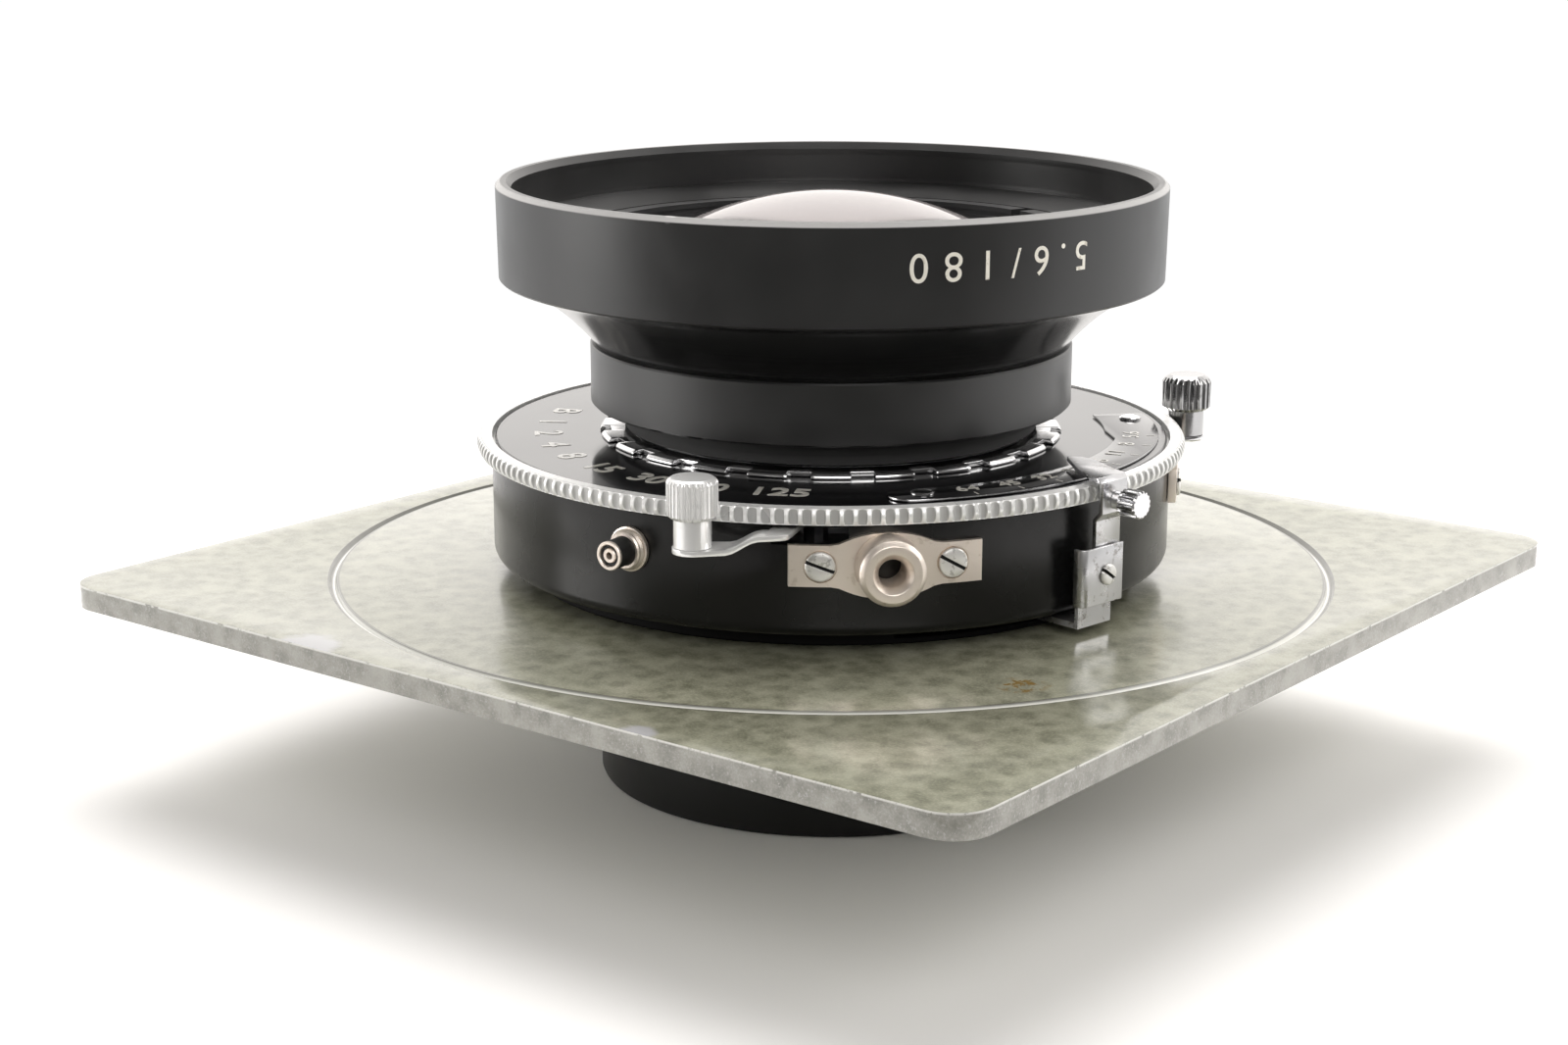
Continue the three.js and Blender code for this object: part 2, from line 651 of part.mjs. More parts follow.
// Cam slots: the drive pin's own path, seen from the ring that drives it
function camPath(pivot, pin, baseDeg, bladeDeg, ringDeg, steps) {
  return Array.from({ length: steps + 1 }, (_, i) => {
    const share = i / steps;
    const turnedPin = turnAbout(pin, pivot, bladeDeg[0] + (bladeDeg[1] - bladeDeg[0]) * share);
    const ring = ringDeg[0] + (ringDeg[1] - ringDeg[0]) * share;
    return turnAbout(turnedPin, new THREE.Vector2(), baseDeg - ring);
  });
}

// Iris ring: spiral cam slots drive the blades; its foot leaves under the case and turns up
function irisRing() {
  const outer = flangeRadius - flangeRim - 1.4 * runningGap;
  const slots = Array.from({ length: bladeCount }, (_, i) => slotOutline(camPath(
    irisPivot, irisPin, irisBaseDeg + (360 * i) / bladeCount - leverAngleDeg,
    [0, irisClosedDeg], [leverOpenDeg, -leverClosedDeg], 7), pinRadius + camGap));
  const ring = flat(disc(outer, midFacets), irisRingZ, plateThickness,
    [disc(tubeOuterRadius + runningGap, midFacets), ...slots]);
  const foot = flat(rectangle(outer - plateThickness, tabInnerRadius + tabThickness, tabLeft, tabRight),
    irisRingZ, plateThickness);
  const tab = flat(rectangle(tabInnerRadius, tabInnerRadius + tabThickness, tabLeft, tabRight),
    irisRingZ, tabHeight);
  return ring.add(foot).add(tab);
}

// A crescent blade with an ear for its pivot and drive pin, turned about the pivot
function bladeOutline(inner, outer, fromDeg, sweepDeg, pivot, deg) {
  return sector(inner, outer, fromDeg, sweepDeg, 6).map((p) => turnAbout(p, pivot, deg));
}

function irisBlade(level) {
  const z = irisStackZ + level * bladePitch;
  const place = (p) => turnAbout(p, irisPivot, irisRestDeg);
  const band = flat(bladeOutline(clearRadius, irisBandRadius, irisTipDeg, irisSweepDeg, irisPivot,
    irisRestDeg), z, bladeThickness);
  const root = place(polar(irisBandRadius - earInset, irisTipDeg / 4));
  const bosses = [irisPivot, place(irisPin), root].map((p) => [p, irisEarRadius]);
  const ear = hullPlate(bosses, z, bladeThickness);
  const pivotPin = flat(disc(pinRadius, pinFacets, irisPivot), z,
    bladePlateZ + plateThickness - seatGap - z);
  const drivePin = flat(disc(pinRadius, pinFacets, place(irisPin)), irisRingZ + seatGap, z - irisRingZ);
  return band.add(ear).add(pivotPin).add(drivePin);
}

function shutterBlade(level) {
  const z = shutterStackZ + level * bladePitch;
  const place = (p) => turnAbout(p, shutterPivot, shutterTurnDeg);
  const band = flat(bladeOutline(shutterInnerRadius, shutterBandRadius, shutterTipDeg, shutterSweepDeg,
    shutterPivot, shutterTurnDeg), z, bladeThickness);
  const root = place(polar(shutterBandRadius - earInset, -shutterTipDeg));
  const ear = hullPlate([
    [shutterPivot, shutterEarRadius], [place(shutterPin), shutterEarRadius - pinRadius],
    [root, shutterEarRadius]], z, bladeThickness);
  const hole = flat(disc(postRadius + camGap, tinyFacets, shutterPivot), z - overrun,
    bladeThickness + 2 * overrun);
  const drivePin = flat(disc(pinRadius, pinFacets, place(shutterPin)), z,
    bladeRingZ + plateThickness - seatGap - z);
  return band.add(ear).subtract(hole).add(drivePin);
}

// Blade ring: cam slots for the five drive pins and a tall link pin for the focus lever
function bladeRing() {
  const slots = Array.from({ length: bladeCount }, (_, i) => slotOutline(camPath(
    shutterPivot, shutterPin, shutterBaseDeg + (360 * i) / bladeCount,
    [shutterTurnDeg, 0], [0, linkTravelDeg], 2), pinRadius + camGap));
  const ring = flat(disc(bodyRadius - bodyWall - 1.4 * runningGap, midFacets), bladeRingZ, plateThickness,
    [disc(frontTubeRadius + 1.2 * runningGap, midFacets), ...slots]);
  return ring.add(flat(disc(linkPinRadius, tinyFacets, polar(linkX, focusAngleDeg)), bladeRingZ,
    leverZ + leverPlate - bladeRingZ));
}

// A thumb lever in its station: hub on the post, arm through the slot, gooseneck to the knob
function thumbLever(knobX, stemRadius, slot) {
  const post = new THREE.Vector2(leverPostX, leverPostY);
  const elbow = new THREE.Vector2(leverArmX, -leverArmWidth / 4);
  const knob = new THREE.Vector2(knobX, leverKnobY);
  const half = leverArmWidth / 2;
  const low = leverZ - leverDrop - overrun;
  const tall = leverDrop + leverPlate + 2 * overrun;
  const wall = new THREE.Vector2(bodyRadius - bodyWall, 0);
  const inner = hullPlate([[post, leverHubRadius], [wall, half]], low, tall);
  const through = hullPlate([[wall, half], [elbow, half]], low, tall);
  const outer = hullPlate([[elbow, half], [knob, stemRadius + runningGap / 2]], low, tall);
  const side = new THREE.Shape([
    new THREE.Vector2(leverHubRadius + leverPostY + overrun, leverZ),
    new THREE.Vector2(leverHubRadius + leverPostY + overrun, leverZ + leverPlate),
    new THREE.Vector2(leverSlopeStart, leverZ + leverPlate),
    new THREE.Vector2(leverSlopeEnd, leverZ + leverPlate - leverDrop),
    new THREE.Vector2(leverKnobY - 2 * stemRadius, leverZ + leverPlate - leverDrop),
    new THREE.Vector2(leverKnobY - 2 * stemRadius, leverZ - leverDrop),
    new THREE.Vector2(leverSlopeEnd, leverZ - leverDrop),
    new THREE.Vector2(leverSlopeStart, leverZ)]);
  const sheet = solidOf(new THREE.ExtrudeGeometry(side, { depth: bodyRadius, bevelEnabled: false })
    .applyMatrix4(new THREE.Matrix4().set(0, 0, 1, frontTubeRadius, 1, 0, 0, 0, 0, 1, 0, 0, 0, 0, 0, 1)));
  const hole = flat(disc(leverPostRadius + runningGap, tinyFacets, post), low, tall);
  let lever = inner.add(through).add(outer).intersect(sheet).subtract(hole);
  if (slot) lever = lever.subtract(slot);
  return lever;
}

// The link pin's path seen from the focus lever, as a short slot in its plate
function linkSlot() {
  const post = new THREE.Vector2(leverPostX, leverPostY);
  const path = [0, 0.5, 1].map((share) => turnAbout(
    polar(linkX, linkTravelDeg * share), post, -thumbTravelDeg * share));
  return flat(slotOutline(path, linkPinRadius + camGap),
    leverZ - overrun, leverPlate + 2 * overrun);
}

// A fluted outline: shallow grooves round a circle
function fluted(radius, depth, count) {
  const pitch = 360 / count;
  return Array.from({ length: count }, (_, i) => [
    polar(radius, pitch * i), polar(radius - depth, pitch * (i + 0.5))]).flat();
}

// Fluted knob on a plain stem, riveted to the end of its lever
function thumbKnob(knobX, radius, stemRadius) {
  const z = leverZ + leverPlate - leverDrop + seatGap;
  const centre = [knobX, leverKnobY, 0];
  const stem = flat(disc(stemRadius, smallFacets), z, knobStemHeight + overrun);
  const bevel = 2 * knobFluteDepth;
  const outline = new THREE.Shape(fluted(radius - bevel, knobFluteDepth, knobFlutes));
  const cap = solidOf(new THREE.ExtrudeGeometry(outline, {
    depth: knobHeight - 2 * bevel, bevelThickness: bevel, bevelSize: bevel, bevelSegments: 1,
  }).translate(0, 0, z + knobStemHeight + bevel));
  return cap.add(stem).translate(centre);
}

// Pointer arm: a strip bent out round the speed ring and in over the dial, with a slanted tip
function pointerArm() {
  const inner = tabInnerRadius + tabThickness + seatGap;
  const outer = inner + armThickness;
  const pointerZ = speedRingTopZ + pointerLift;
  const side = new THREE.Shape([
    [inner, armBottomZ], [inner, jogStartZ], [inner + jogOut, jogStartZ + jogRise],
    [inner + jogOut, pointerZ - armThickness], [inner + jogOut - armThickness, pointerZ],
    [pointerTipRadius, pointerZ], [pointerTipRadius, pointerZ + armThickness],
    [outer + jogOut - armThickness, pointerZ + armThickness], [outer + jogOut, pointerZ],
    [outer + jogOut, jogStartZ + jogRise - armThickness / 3], [outer, jogStartZ - armThickness / 3],
    [outer, armBottomZ]].map(([x, z]) => new THREE.Vector2(x, z)));
  const width = 2 * scaleOuterRadius - 2 * scaleInnerRadius;
  const strip = solidOf(new THREE.ExtrudeGeometry(side, { depth: width, bevelEnabled: false })
    .rotateX(Math.PI / 2).translate(0, width / 2, 0));
  const upright = flat(rectangle(inner - overrun, outer + jogOut + overrun, armLeft, armRight),
    armBottomZ - overrun, pointerZ - armBottomZ + overrun - armThickness / 2);
  const reach = outer + jogOut;
  const tipShares = [
    [1, -0.046], [1, 0.056], [0.947, 0.07], [0.817, 0.125],
    [0.771, 0.092], [0.891, -0.005], [0.985, -0.046]];
  const tipPlan = tipShares.map(([x, y]) =>
    new THREE.Vector2(x * reach + (x === 1 ? overrun : 0), y * reach));
  const tip = flat(tipPlan, pointerZ - armThickness / 2 - seatGap, armThickness + overrun);
  return strip.intersect(upright.add(tip));
}

// Sleeve: an angle of sheet that clasps the tab and the arm under one screw
function leverSleeve() {
  const inner = tabInnerRadius + tabThickness + armThickness + 2 * seatGap;
  const outer = inner + sleeveThickness;
  const left = tabLeft - seatGap;
  const face = flat(rectangle(inner, outer, left - sleeveThickness, sleeveRight), sleeveZ, sleeveHeight);
  const side = flat(rectangle(tabInnerRadius, outer, left - sleeveThickness, left), sleeveZ, sleeveHeight);
  return face.add(side);
}

// A low domed screw head along +X, with a slot cut across it
function slottedHead(x, z, y, radius, height, slotDeg) {
  const head = radial([
    [0, x], [radius, x], [radius, x + height / 2], [radius * 0.7, x + height], [0, x + height]],
  tinyFacets, z, y);
  const slot = solidOf(new THREE.BoxGeometry(height, 2 * (radius + overrun), screwSlotWidth)
    .rotateX(rad(slotDeg)).translate(x + height, y, z));
  return head.subtract(slot);
}

// Grip knob on the pointer arm: a short neck and a fluted head, axis outwards
function gripKnob() {
  const x = tabInnerRadius + tabThickness + armThickness + 2 * seatGap + jogOut;
  const z = speedRingTopZ - gripDrop;
  const head = flat(fluted(gripRadius, knobFluteDepth, gripFlutes), gripNeckLength, gripLength);
  const neck = flat(disc(gripNeckRadius, tinyFacets), 0, gripNeckLength + overrun);
  return head.add(neck).rotate([0, 90, 0]).translate([x, gripOffset, z]);
}

// A curved plate on the case wall, cut from a shell by its flat outline
function wallPlate(outline, z, thickness) {
  const inner = bodyRadius + 1.2 * seatGap;
  const blank = flat(outline, bodyRadius / 2, bodyRadius)
    .rotate([90, 0, 90]).translate([0, 0, z]);
  const shell = turned([
    [inner, z - bodyHeight], [inner + thickness, z - bodyHeight],
    [inner + thickness, z + bodyHeight], [inner, z + bodyHeight]], 2 * bigFacets);
  return blank.intersect(shell);
}

// Cable-release plate: straight ends that flare into a round middle, with a hole for the bush
function cablePlate() {
  const half = cablePlateHeight / 2;
  const flare = (sx, sy) => [
    [sx * cablePlateLength / 2, sy * half], [sx * (cableBushRadius + cablePlateFlare), sy * half],
    [sx * (cableBushRadius + cablePlateFlare / 3), sy * (half + cablePlateFlare / 5)]];
  const cap = (sy) => arc(cableBushRadius, sy > 0 ? 45 : 225, sy > 0 ? 135 : 315, 4).map((p) => [p.x, p.y]);
  const points = [...flare(1, 1), ...cap(1), ...flare(-1, 1).reverse(),
    ...flare(-1, -1), ...cap(-1), ...flare(1, -1).reverse()].map(([x, y]) => new THREE.Vector2(x, y));
  const plate = wallPlate(points, wallPlateZ, cablePlateThickness);
  const hole = radial([[0, 0], [cableTailRadius + runningGap / 2, 0],
    [cableTailRadius + runningGap / 2, bodyRadius + 2 * overrun], [0, bodyRadius + 2 * overrun]],
  smallFacets, wallPlateZ);
  return plate.subtract(hole);
}

// Threaded bush for the cable release, standing proud of its plate
function cableBush() {
  const seat = bodyRadius + cablePlateThickness + 2 * seatGap;
  const mouth = seat + cableBushLength;
  const tail = bodyRadius - upperWall;
  return radial([
    [cableHoleRadius, tail], [cableTailRadius, tail], [cableTailRadius, seat], [cableBushRadius, seat],
    [cableBushRadius, mouth - cableBushBevel], [cableBushRadius - cableBushBevel, mouth],
    [cableHoleRadius + cableCountersink, mouth], [cableHoleRadius, mouth - cableCountersink]],
  smallFacets, wallPlateZ);
}

// Sync socket: collar, black sleeve, metal shell, insulator and centre contact, all on one axis
function syncSocket() {
  const group = station(syncAngleDeg);
  const wall = bodyRadius + seatGap;
  const end = bodyRadius + syncLength;
  const shellRadius = syncSleeveRadius - syncShellWall / 2;
  const shellBore = syncSleeveRadius - syncShellWall;
  const tail = bodyRadius - upperWall;
  const turnedAt = (profile) => radial(profile, tinyFacets, syncZ);
  piece('sync_collar', turnedAt([
    [syncSleeveRadius + seatGap, wall], [syncCollarRadius, wall],
    [syncCollarRadius, wall + syncCollarLength * 0.6],
    [syncSleeveRadius + seatGap, wall + syncCollarLength]]), nickel, group);
  piece('sync_sleeve', turnedAt([
    [shellRadius + seatGap, tail], [syncSleeveRadius, tail],
    [syncSleeveRadius, end - syncRecess - seatGap], [shellRadius + seatGap, end - syncRecess - seatGap]]),
  insulator, group);
  piece('sync_shell', turnedAt([
    [shellBore, tail], [shellRadius, tail], [shellRadius, end - syncRecess],
    [syncSleeveRadius, end - syncRecess], [syncSleeveRadius, end], [shellBore, end]]), nickel, group);
  piece('sync_insulator', turnedAt([
    [syncContactRadius + seatGap, tail], [shellBore - seatGap, tail],
    [shellBore - seatGap, end - syncRecess], [syncContactRadius + seatGap, end - syncRecess]]),
  insulator, group);
  piece('sync_contact', turnedAt([
    [0, tail], [syncContactRadius, tail], [syncContactRadius, end - syncRecess / 3],
    [syncHoleRadius, end - syncRecess / 3], [syncHoleRadius, tail + bodyWall], [0, tail + bodyWall]]),
  nickel, group);
}

// Front cell: ring with the filter bore, flared underside, neck and spigot, bored for the glasses
const frontGlassSeatZ = ringBottomZ - frontGlassDrop;
const frontRetainerZ = frontGlassSeatZ + frontGlassEdge + frontRetainerLift;

function frontBarrel() {
  const spigotRadius = frontTubeRadius - frontTubeWall - 0.8 * runningGap;
  const spigotEnd = frontSeatZ - frontSpigotLength;
  const innerSeat = spigotEnd + frontInnerSeat;
  const innerBore = frontInnerGlassRadius + runningGap;
  const flare = new THREE.QuadraticBezierCurve(
    new THREE.Vector2(ringRadius - ringTaper - flareInset, ringBottomZ),
    new THREE.Vector2((ringRadius + neckRadius) / 2 - flareInset, ringBottomZ - 0.18 * flareHeight),
    new THREE.Vector2(neckRadius - 2 * neckEdge, neckTopZ)).getPoints(3).map((p) => [p.x, p.y]);
  const pocket = frontGlassRadius + runningGap;
  const threadBase = ringTopZ - filterDepth - filterChamfer;
  return turned([
    [ringRadius - rimBevel, ringTopZ], [ringRadius, ringTopZ - rimBevel],
    [ringRadius - ringTaper, ringBottomZ], ...flare,
    [neckRadius, neckTopZ - neckEdge], [neckRadius, neckBottomZ + neckEdge],
    [neckRadius - neckEdge, neckBottomZ], [neckFootRadius, neckBottomZ],
    [neckFootRadius, neckBottomZ - neckFoot / 2],
    [neckFootRadius - neckFootStep, neckBottomZ - neckFoot / 2],
    [neckFootRadius - neckFootStep, frontSeatZ], [spigotRadius, frontSeatZ], [spigotRadius, spigotEnd],
    [cellBore, spigotEnd], [cellBore, innerSeat],
    [innerBore, innerSeat], [innerBore, neckBottomZ],
    [frontGlassRadius - frontSeatInset, frontGlassSeatZ - seatGap],
    [pocket, frontGlassSeatZ - seatGap], [pocket, frontRetainerZ + frontRetainerStep],
    [frontRetainerRadius + runningGap, frontRetainerZ + frontRetainerStep],
    [frontRetainerRadius + runningGap, frontRetainerZ + frontRetainerHeight],
    [filterBore - filterLedge, threadBase], [filterBore, threadBase],
    [filterBore, ringTopZ - filterChamfer],
    [filterBore + filterChamfer / 2, ringTopZ]], bigFacets);
}

// Front element: a deep dome in front and a hollow behind
function frontGlass() {
  const apexZ = ringTopZ - frontDomeDrop;
  const domeEdge = frontGlassRadius - frontGlassBevel;
  const edgeZ = apexZ - frontDomeRadius + Math.sqrt(frontDomeRadius ** 2 - domeEdge ** 2);
  const seat = frontGlassRadius - frontSeatInset;
  return turned([
    ...domeProfile(domeEdge, edgeZ, apexZ, 4).reverse(),
    [frontGlassRadius, edgeZ - frontGlassBevel / 2], [frontGlassRadius, frontGlassSeatZ],
    [seat, frontGlassSeatZ],
    ...domeProfile(seat, frontGlassSeatZ, frontGlassSeatZ + frontGlassHollow, 2).slice(1)],
  midFacets);
}

// Retaining ring over the front element, stepped inside against stray light, with two slots
function frontRetainer() {
  const base = frontRetainerZ;
  const top = base + frontRetainerHeight;
  const step = frontRetainerStep;
  const bore = frontGlassRadius - step / 2;
  const steps = 2;
  const ridges = Array.from({ length: steps }, (_, i) => [
    [bore + (i + 1) * step, base + (frontRetainerHeight * i) / steps + (i ? 0 : step)],
    [bore + (i + 1) * step, base + (frontRetainerHeight * (i + 1)) / steps]]).flat();
  const ring = turned([
    [bore, base], [frontGlassRadius, base], [frontGlassRadius, base + step + seatGap],
    [frontRetainerRadius, base + step + seatGap], [frontRetainerRadius, top],
    ...ridges.reverse(), [bore, base + step]], midFacets);
  const slot = flat(rectangle(-ringRadius, ringRadius, -step, step), top - 2 * step, ringLength);
  return ring.subtract(slot.rotate([0, 0, retainerSlotDeg]));
}

// A thin meniscus inside a cell, hollow towards the iris
const meniscusRatio = 1.6;

function innerGlass(radius, z, edge, hollow, towards) {
  const flip = (profile) => profile.map(([r, h]) => [r, z + towards * h]);
  return turned(flip([
    ...domeProfile(radius, 0, hollow, 2),
    ...domeProfile(radius, edge, edge + meniscusRatio * hollow, 2).reverse()]), smallFacets);
}

// Rear cell: drum with a recessed rim, a collar against the tube's end and a threaded spigot
const rearGlassSeatZ = rearRecessDepth + rearGlassEdge + rearEdge / 2 + seatGap;

function rearBarrel() {
  const collarTop = rearCellLength + rearCollarLength;
  const bore = cellBore;
  return turned([
    [rearRecessRadius + rearEdge, 0], [rearCellRadius - rearEdge, 0], [rearCellRadius, rearEdge],
    [rearCellRadius, rearCellLength - rearEdge], [rearCellRadius - rearEdge, rearCellLength],
    [rearCollarRadius, rearCellLength], [rearCollarRadius, collarTop], [rearSpigotRadius, collarTop],
    [rearSpigotRadius, collarTop + rearSpigotLength], [bore, collarTop + rearSpigotLength],
    [bore, rearInnerGlassSeat], [rearInnerGlassRadius - rearEdge, rearInnerGlassSeat],
    [rearGlassRadius - 2 * rearEdge, rearGlassSeatZ + seatGap],
    [rearGlassRadius + runningGap, rearGlassSeatZ + seatGap],
    [rearGlassRadius + runningGap, rearRecessDepth], [rearRecessRadius, rearRecessDepth],
    [rearRecessRadius, rearEdge]], midFacets);
}

function rearGlass() {
  const edgeZ = rearGlassSeatZ - rearGlassEdge;
  const seat = rearGlassRadius - 3 * rearEdge;
  return turned([
    ...domeProfile(rearGlassRadius - rearEdge, edgeZ, edgeZ - rearGlassSag, 3).reverse(),
    [rearGlassRadius, edgeZ + rearEdge], [rearGlassRadius, rearGlassSeatZ], [seat, rearGlassSeatZ],
    ...domeProfile(seat, rearGlassSeatZ, rearGlassSeatZ - rearGlassHollow, 2).slice(1)], midFacets);
}

function rearRetainer() {
  const top = rearRecessDepth - seatGap;
  const inner = rearGlassRadius - rearEdge / 2;
  return turned([
    [inner + rearEdge, top / 3], [rearRecessRadius - runningGap, top / 3],
    [rearRecessRadius - runningGap, top], [inner, top]], midFacets);
}

// Build the assembly, from the board forwards
piece('lens_board', lensBoard(), hammertone);
piece('retaining_ring', retainingRing(), blackAnodised);
piece('rear_flange', rearFlange(), blackPaint);
piece('shutter_case', shutterCase(), blackPaint);
piece('blade_plate', bladePlate(), steel);
piece('main_plate', mainPlate(), steel);
piece('speed_ring', speedRing(), chrome);
piece('face_plate', facePlate(), glossBlack);
piece('slotted_ring', slottedRing(), chrome);
piece('aperture_scale', apertureScale(), glossBlack);
scaleRivetsDeg.forEach((deg, i) => piece(`scale_rivet_${i + 1}`, dialRivet(deg), chrome));

const leverStation = station(leverAngleDeg);
piece('iris_ring', irisRing(), steel, leverStation);
piece('pointer_arm', pointerArm(), steel, leverStation);
piece('lever_sleeve', leverSleeve(), steel, leverStation);
piece('pointer_grip', gripKnob(), chrome, leverStation);
piece('lever_screw', slottedHead(
  tabInnerRadius + tabThickness + armThickness + sleeveThickness + 3 * seatGap,
  leverScrewZ, 0, leverScrewRadius, leverScrewHeight, 55), chrome, leverStation);

for (let i = 0; i < bladeCount; i += 1) {
  const turn = (360 * i) / bladeCount;
  piece(`iris_blade_${i + 1}`, irisBlade(i), bladeSteel, station(irisBaseDeg + turn));
  piece(`shutter_blade_${i + 1}`, shutterBlade(i), bladeSteel, station(shutterBaseDeg + turn));
}
piece('blade_ring', bladeRing(), steel);

const leverPost = () => flat(disc(leverPostRadius, tinyFacets, new THREE.Vector2(leverPostX, leverPostY)),
  mainPlateTopZ + seatGap, leverZ + leverPlate + seatGap - mainPlateTopZ);
const releaseStation = station(releaseAngleDeg);
piece('release_post', leverPost(), steel, releaseStation);
piece('release_lever', thumbLever(releaseKnobX, releaseStemRadius), chrome, releaseStation);
piece('release_knob', thumbKnob(releaseKnobX, releaseKnobRadius, releaseStemRadius), chrome,
  releaseStation);
const focusStation = station(focusAngleDeg);
piece('focus_post', leverPost(), steel, focusStation);
piece('focus_lever', thumbLever(focusKnobX, focusStemRadius, linkSlot()), chrome, focusStation);
piece('focus_knob', thumbKnob(focusKnobX, focusKnobRadius, focusStemRadius), chrome, focusStation);

const cableStation = station(cableAngleDeg);
piece('cable_plate', cablePlate(), nickel, cableStation);
piece('cable_bush', cableBush(), nickel, cableStation);
const screwSlotDeg = 35;
const plateScrews = (name, group, thickness, z, deg) => [-deg, deg].forEach((turn, i) => {
  const head = slottedHead(bodyRadius + thickness + 2 * seatGap, z, 0, plateScrewRadius,
    plateScrewHeight, screwSlotDeg);
  piece(`${name}_${i + 1}`, head.rotate([0, 0, turn]), chrome, group);
});
plateScrews('cable_screw', cableStation, cablePlateThickness, wallPlateZ, plateScrewAngleDeg);
const sideStation = station(sidePlateAngleDeg);
piece('side_plate', wallPlate(rectangle(-sidePlateLength / 2, sidePlateLength / 2,
  -sidePlateHeight / 2, sidePlateHeight / 2), sidePlateZ, sidePlateThickness), nickel, sideStation);
plateScrews('side_screw', sideStation, sidePlateThickness, sidePlateZ, sideScrewAngleDeg);
syncSocket();

piece('front_barrel', frontBarrel(), blackAnodised);
piece('front_glass', frontGlass(), opticalGlass);
piece('front_retainer', frontRetainer(), blackAnodised);
piece('front_inner_glass', innerGlass(frontInnerGlassRadius,
  frontSeatZ - frontSpigotLength + frontInnerSeat + seatGap,
  frontInnerGlassEdge, frontInnerGlassHollow, 1), opticalGlass);
piece('rear_barrel', rearBarrel(), blackAnodised);
piece('rear_glass', rearGlass(), opticalGlass);
piece('rear_retainer', rearRetainer(), blackAnodised);
piece('rear_inner_glass', innerGlass(rearInnerGlassRadius,
  rearInnerGlassSeat + seatGap + rearInnerGlassEdge + meniscusRatio * rearInnerGlassHollow,
  rearInnerGlassEdge, rearInnerGlassHollow, -1), opticalGlass);

export default assembly;
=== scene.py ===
import math
import bpy
from mathutils import Matrix, Vector


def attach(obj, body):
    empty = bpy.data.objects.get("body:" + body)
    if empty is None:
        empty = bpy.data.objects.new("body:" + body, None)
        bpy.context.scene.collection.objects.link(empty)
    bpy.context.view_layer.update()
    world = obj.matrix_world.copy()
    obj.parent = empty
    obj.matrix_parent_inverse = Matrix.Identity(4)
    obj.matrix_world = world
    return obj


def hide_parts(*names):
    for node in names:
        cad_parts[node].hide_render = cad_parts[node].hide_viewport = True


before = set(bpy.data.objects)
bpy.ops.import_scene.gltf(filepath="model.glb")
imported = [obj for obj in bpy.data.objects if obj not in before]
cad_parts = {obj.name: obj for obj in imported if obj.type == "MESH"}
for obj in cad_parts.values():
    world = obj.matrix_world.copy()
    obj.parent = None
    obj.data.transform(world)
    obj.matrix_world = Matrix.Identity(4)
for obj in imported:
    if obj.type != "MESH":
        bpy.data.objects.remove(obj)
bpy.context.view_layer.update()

MM = 0.001


# Table and backdrop: one white sheet under the lens, lit so that it turns to pure white away from
# it. The camera looks down on the board's near corner. Soft boxes stand above, beside and in front.
def node(tree, kind, sockets=None, **settings):
    """A node in a tree, with its settings and the values or wires of its sockets."""
    made = tree.nodes.new("ShaderNode" + kind)
    for name, value in settings.items():
        setattr(made, name, value)
    for name, value in (sockets or {}).items():
        if isinstance(value, bpy.types.NodeSocket):
            tree.links.new(value, made.inputs[name])
        else:
            made.inputs[name].default_value = value
    return made


def ramp(tree, value, start, end, low=0.0, high=1.0, **settings):
    """A value carried from one span to another."""
    spans = {"Value": value, "From Min": start, "From Max": end, "To Min": low, "To Max": high}
    return node(tree, "MapRange", spans, **settings).outputs["Result"]


PURE_WHITE = 1.02
TABLE_SIDE, TABLE_IN_FRONT = 4.8, 0.125
towards = Vector((-0.600911, 0.761092, -0.244221))
ahead = Vector((towards.x, towards.y, 0)).normalized()
bpy.ops.object.select_all(action="DESELECT")
bpy.ops.mesh.primitive_plane_add(size=TABLE_SIDE, location=ahead * (TABLE_SIDE / 2 - TABLE_IN_FRONT),
                                 rotation=(0, 0, math.atan2(ahead.y, ahead.x)))
bpy.ops.object.transform_apply(location=True, rotation=True, scale=True)
table = bpy.context.object
table.name = "table"
paper = bpy.data.materials.new("white paper")
paper.use_nodes = True
tree = paper.node_tree
tree.nodes.clear()
place = node(tree, "TexCoord")
reach = node(tree, "VectorMath", {0: place.outputs["Object"]}, operation="LENGTH")
fade = ramp(tree, reach.outputs["Value"], 0.105, 0.33, interpolation_type="SMOOTHSTEP")
matt = node(tree, "BsdfDiffuse", {"Color": (0.89, 0.885, 0.88, 1)})
lit = node(tree, "Emission", {"Color": (1, 1, 1, 1), "Strength": PURE_WHITE})
both = node(tree, "MixShader", {0: fade, 1: matt.outputs[0], 2: lit.outputs[0]})
node(tree, "OutputMaterial", {"Surface": both.outputs[0]})
table.data.materials.append(paper)

camera_data = bpy.data.cameras.new("camera")
camera_data.lens = 62.773
camera_data.sensor_width = 36
camera_data.clip_start = 0.01
camera = bpy.data.objects.new("camera", camera_data)
right = Vector((0.784653, 0.619933, 0.001308))
above = Vector((-0.152396, 0.190843, 0.969719))
camera.matrix_world = Matrix((
    (right.x, above.x, -towards.x, 172.93624 * MM), (right.y, above.y, -towards.y, -227.01126 * MM),
    (right.z, above.z, -towards.z, 98.60341 * MM), (0, 0, 0, 1)))
bpy.context.collection.objects.link(camera)
bpy.context.scene.camera = camera
bpy.context.scene.view_settings.view_transform = "Standard"

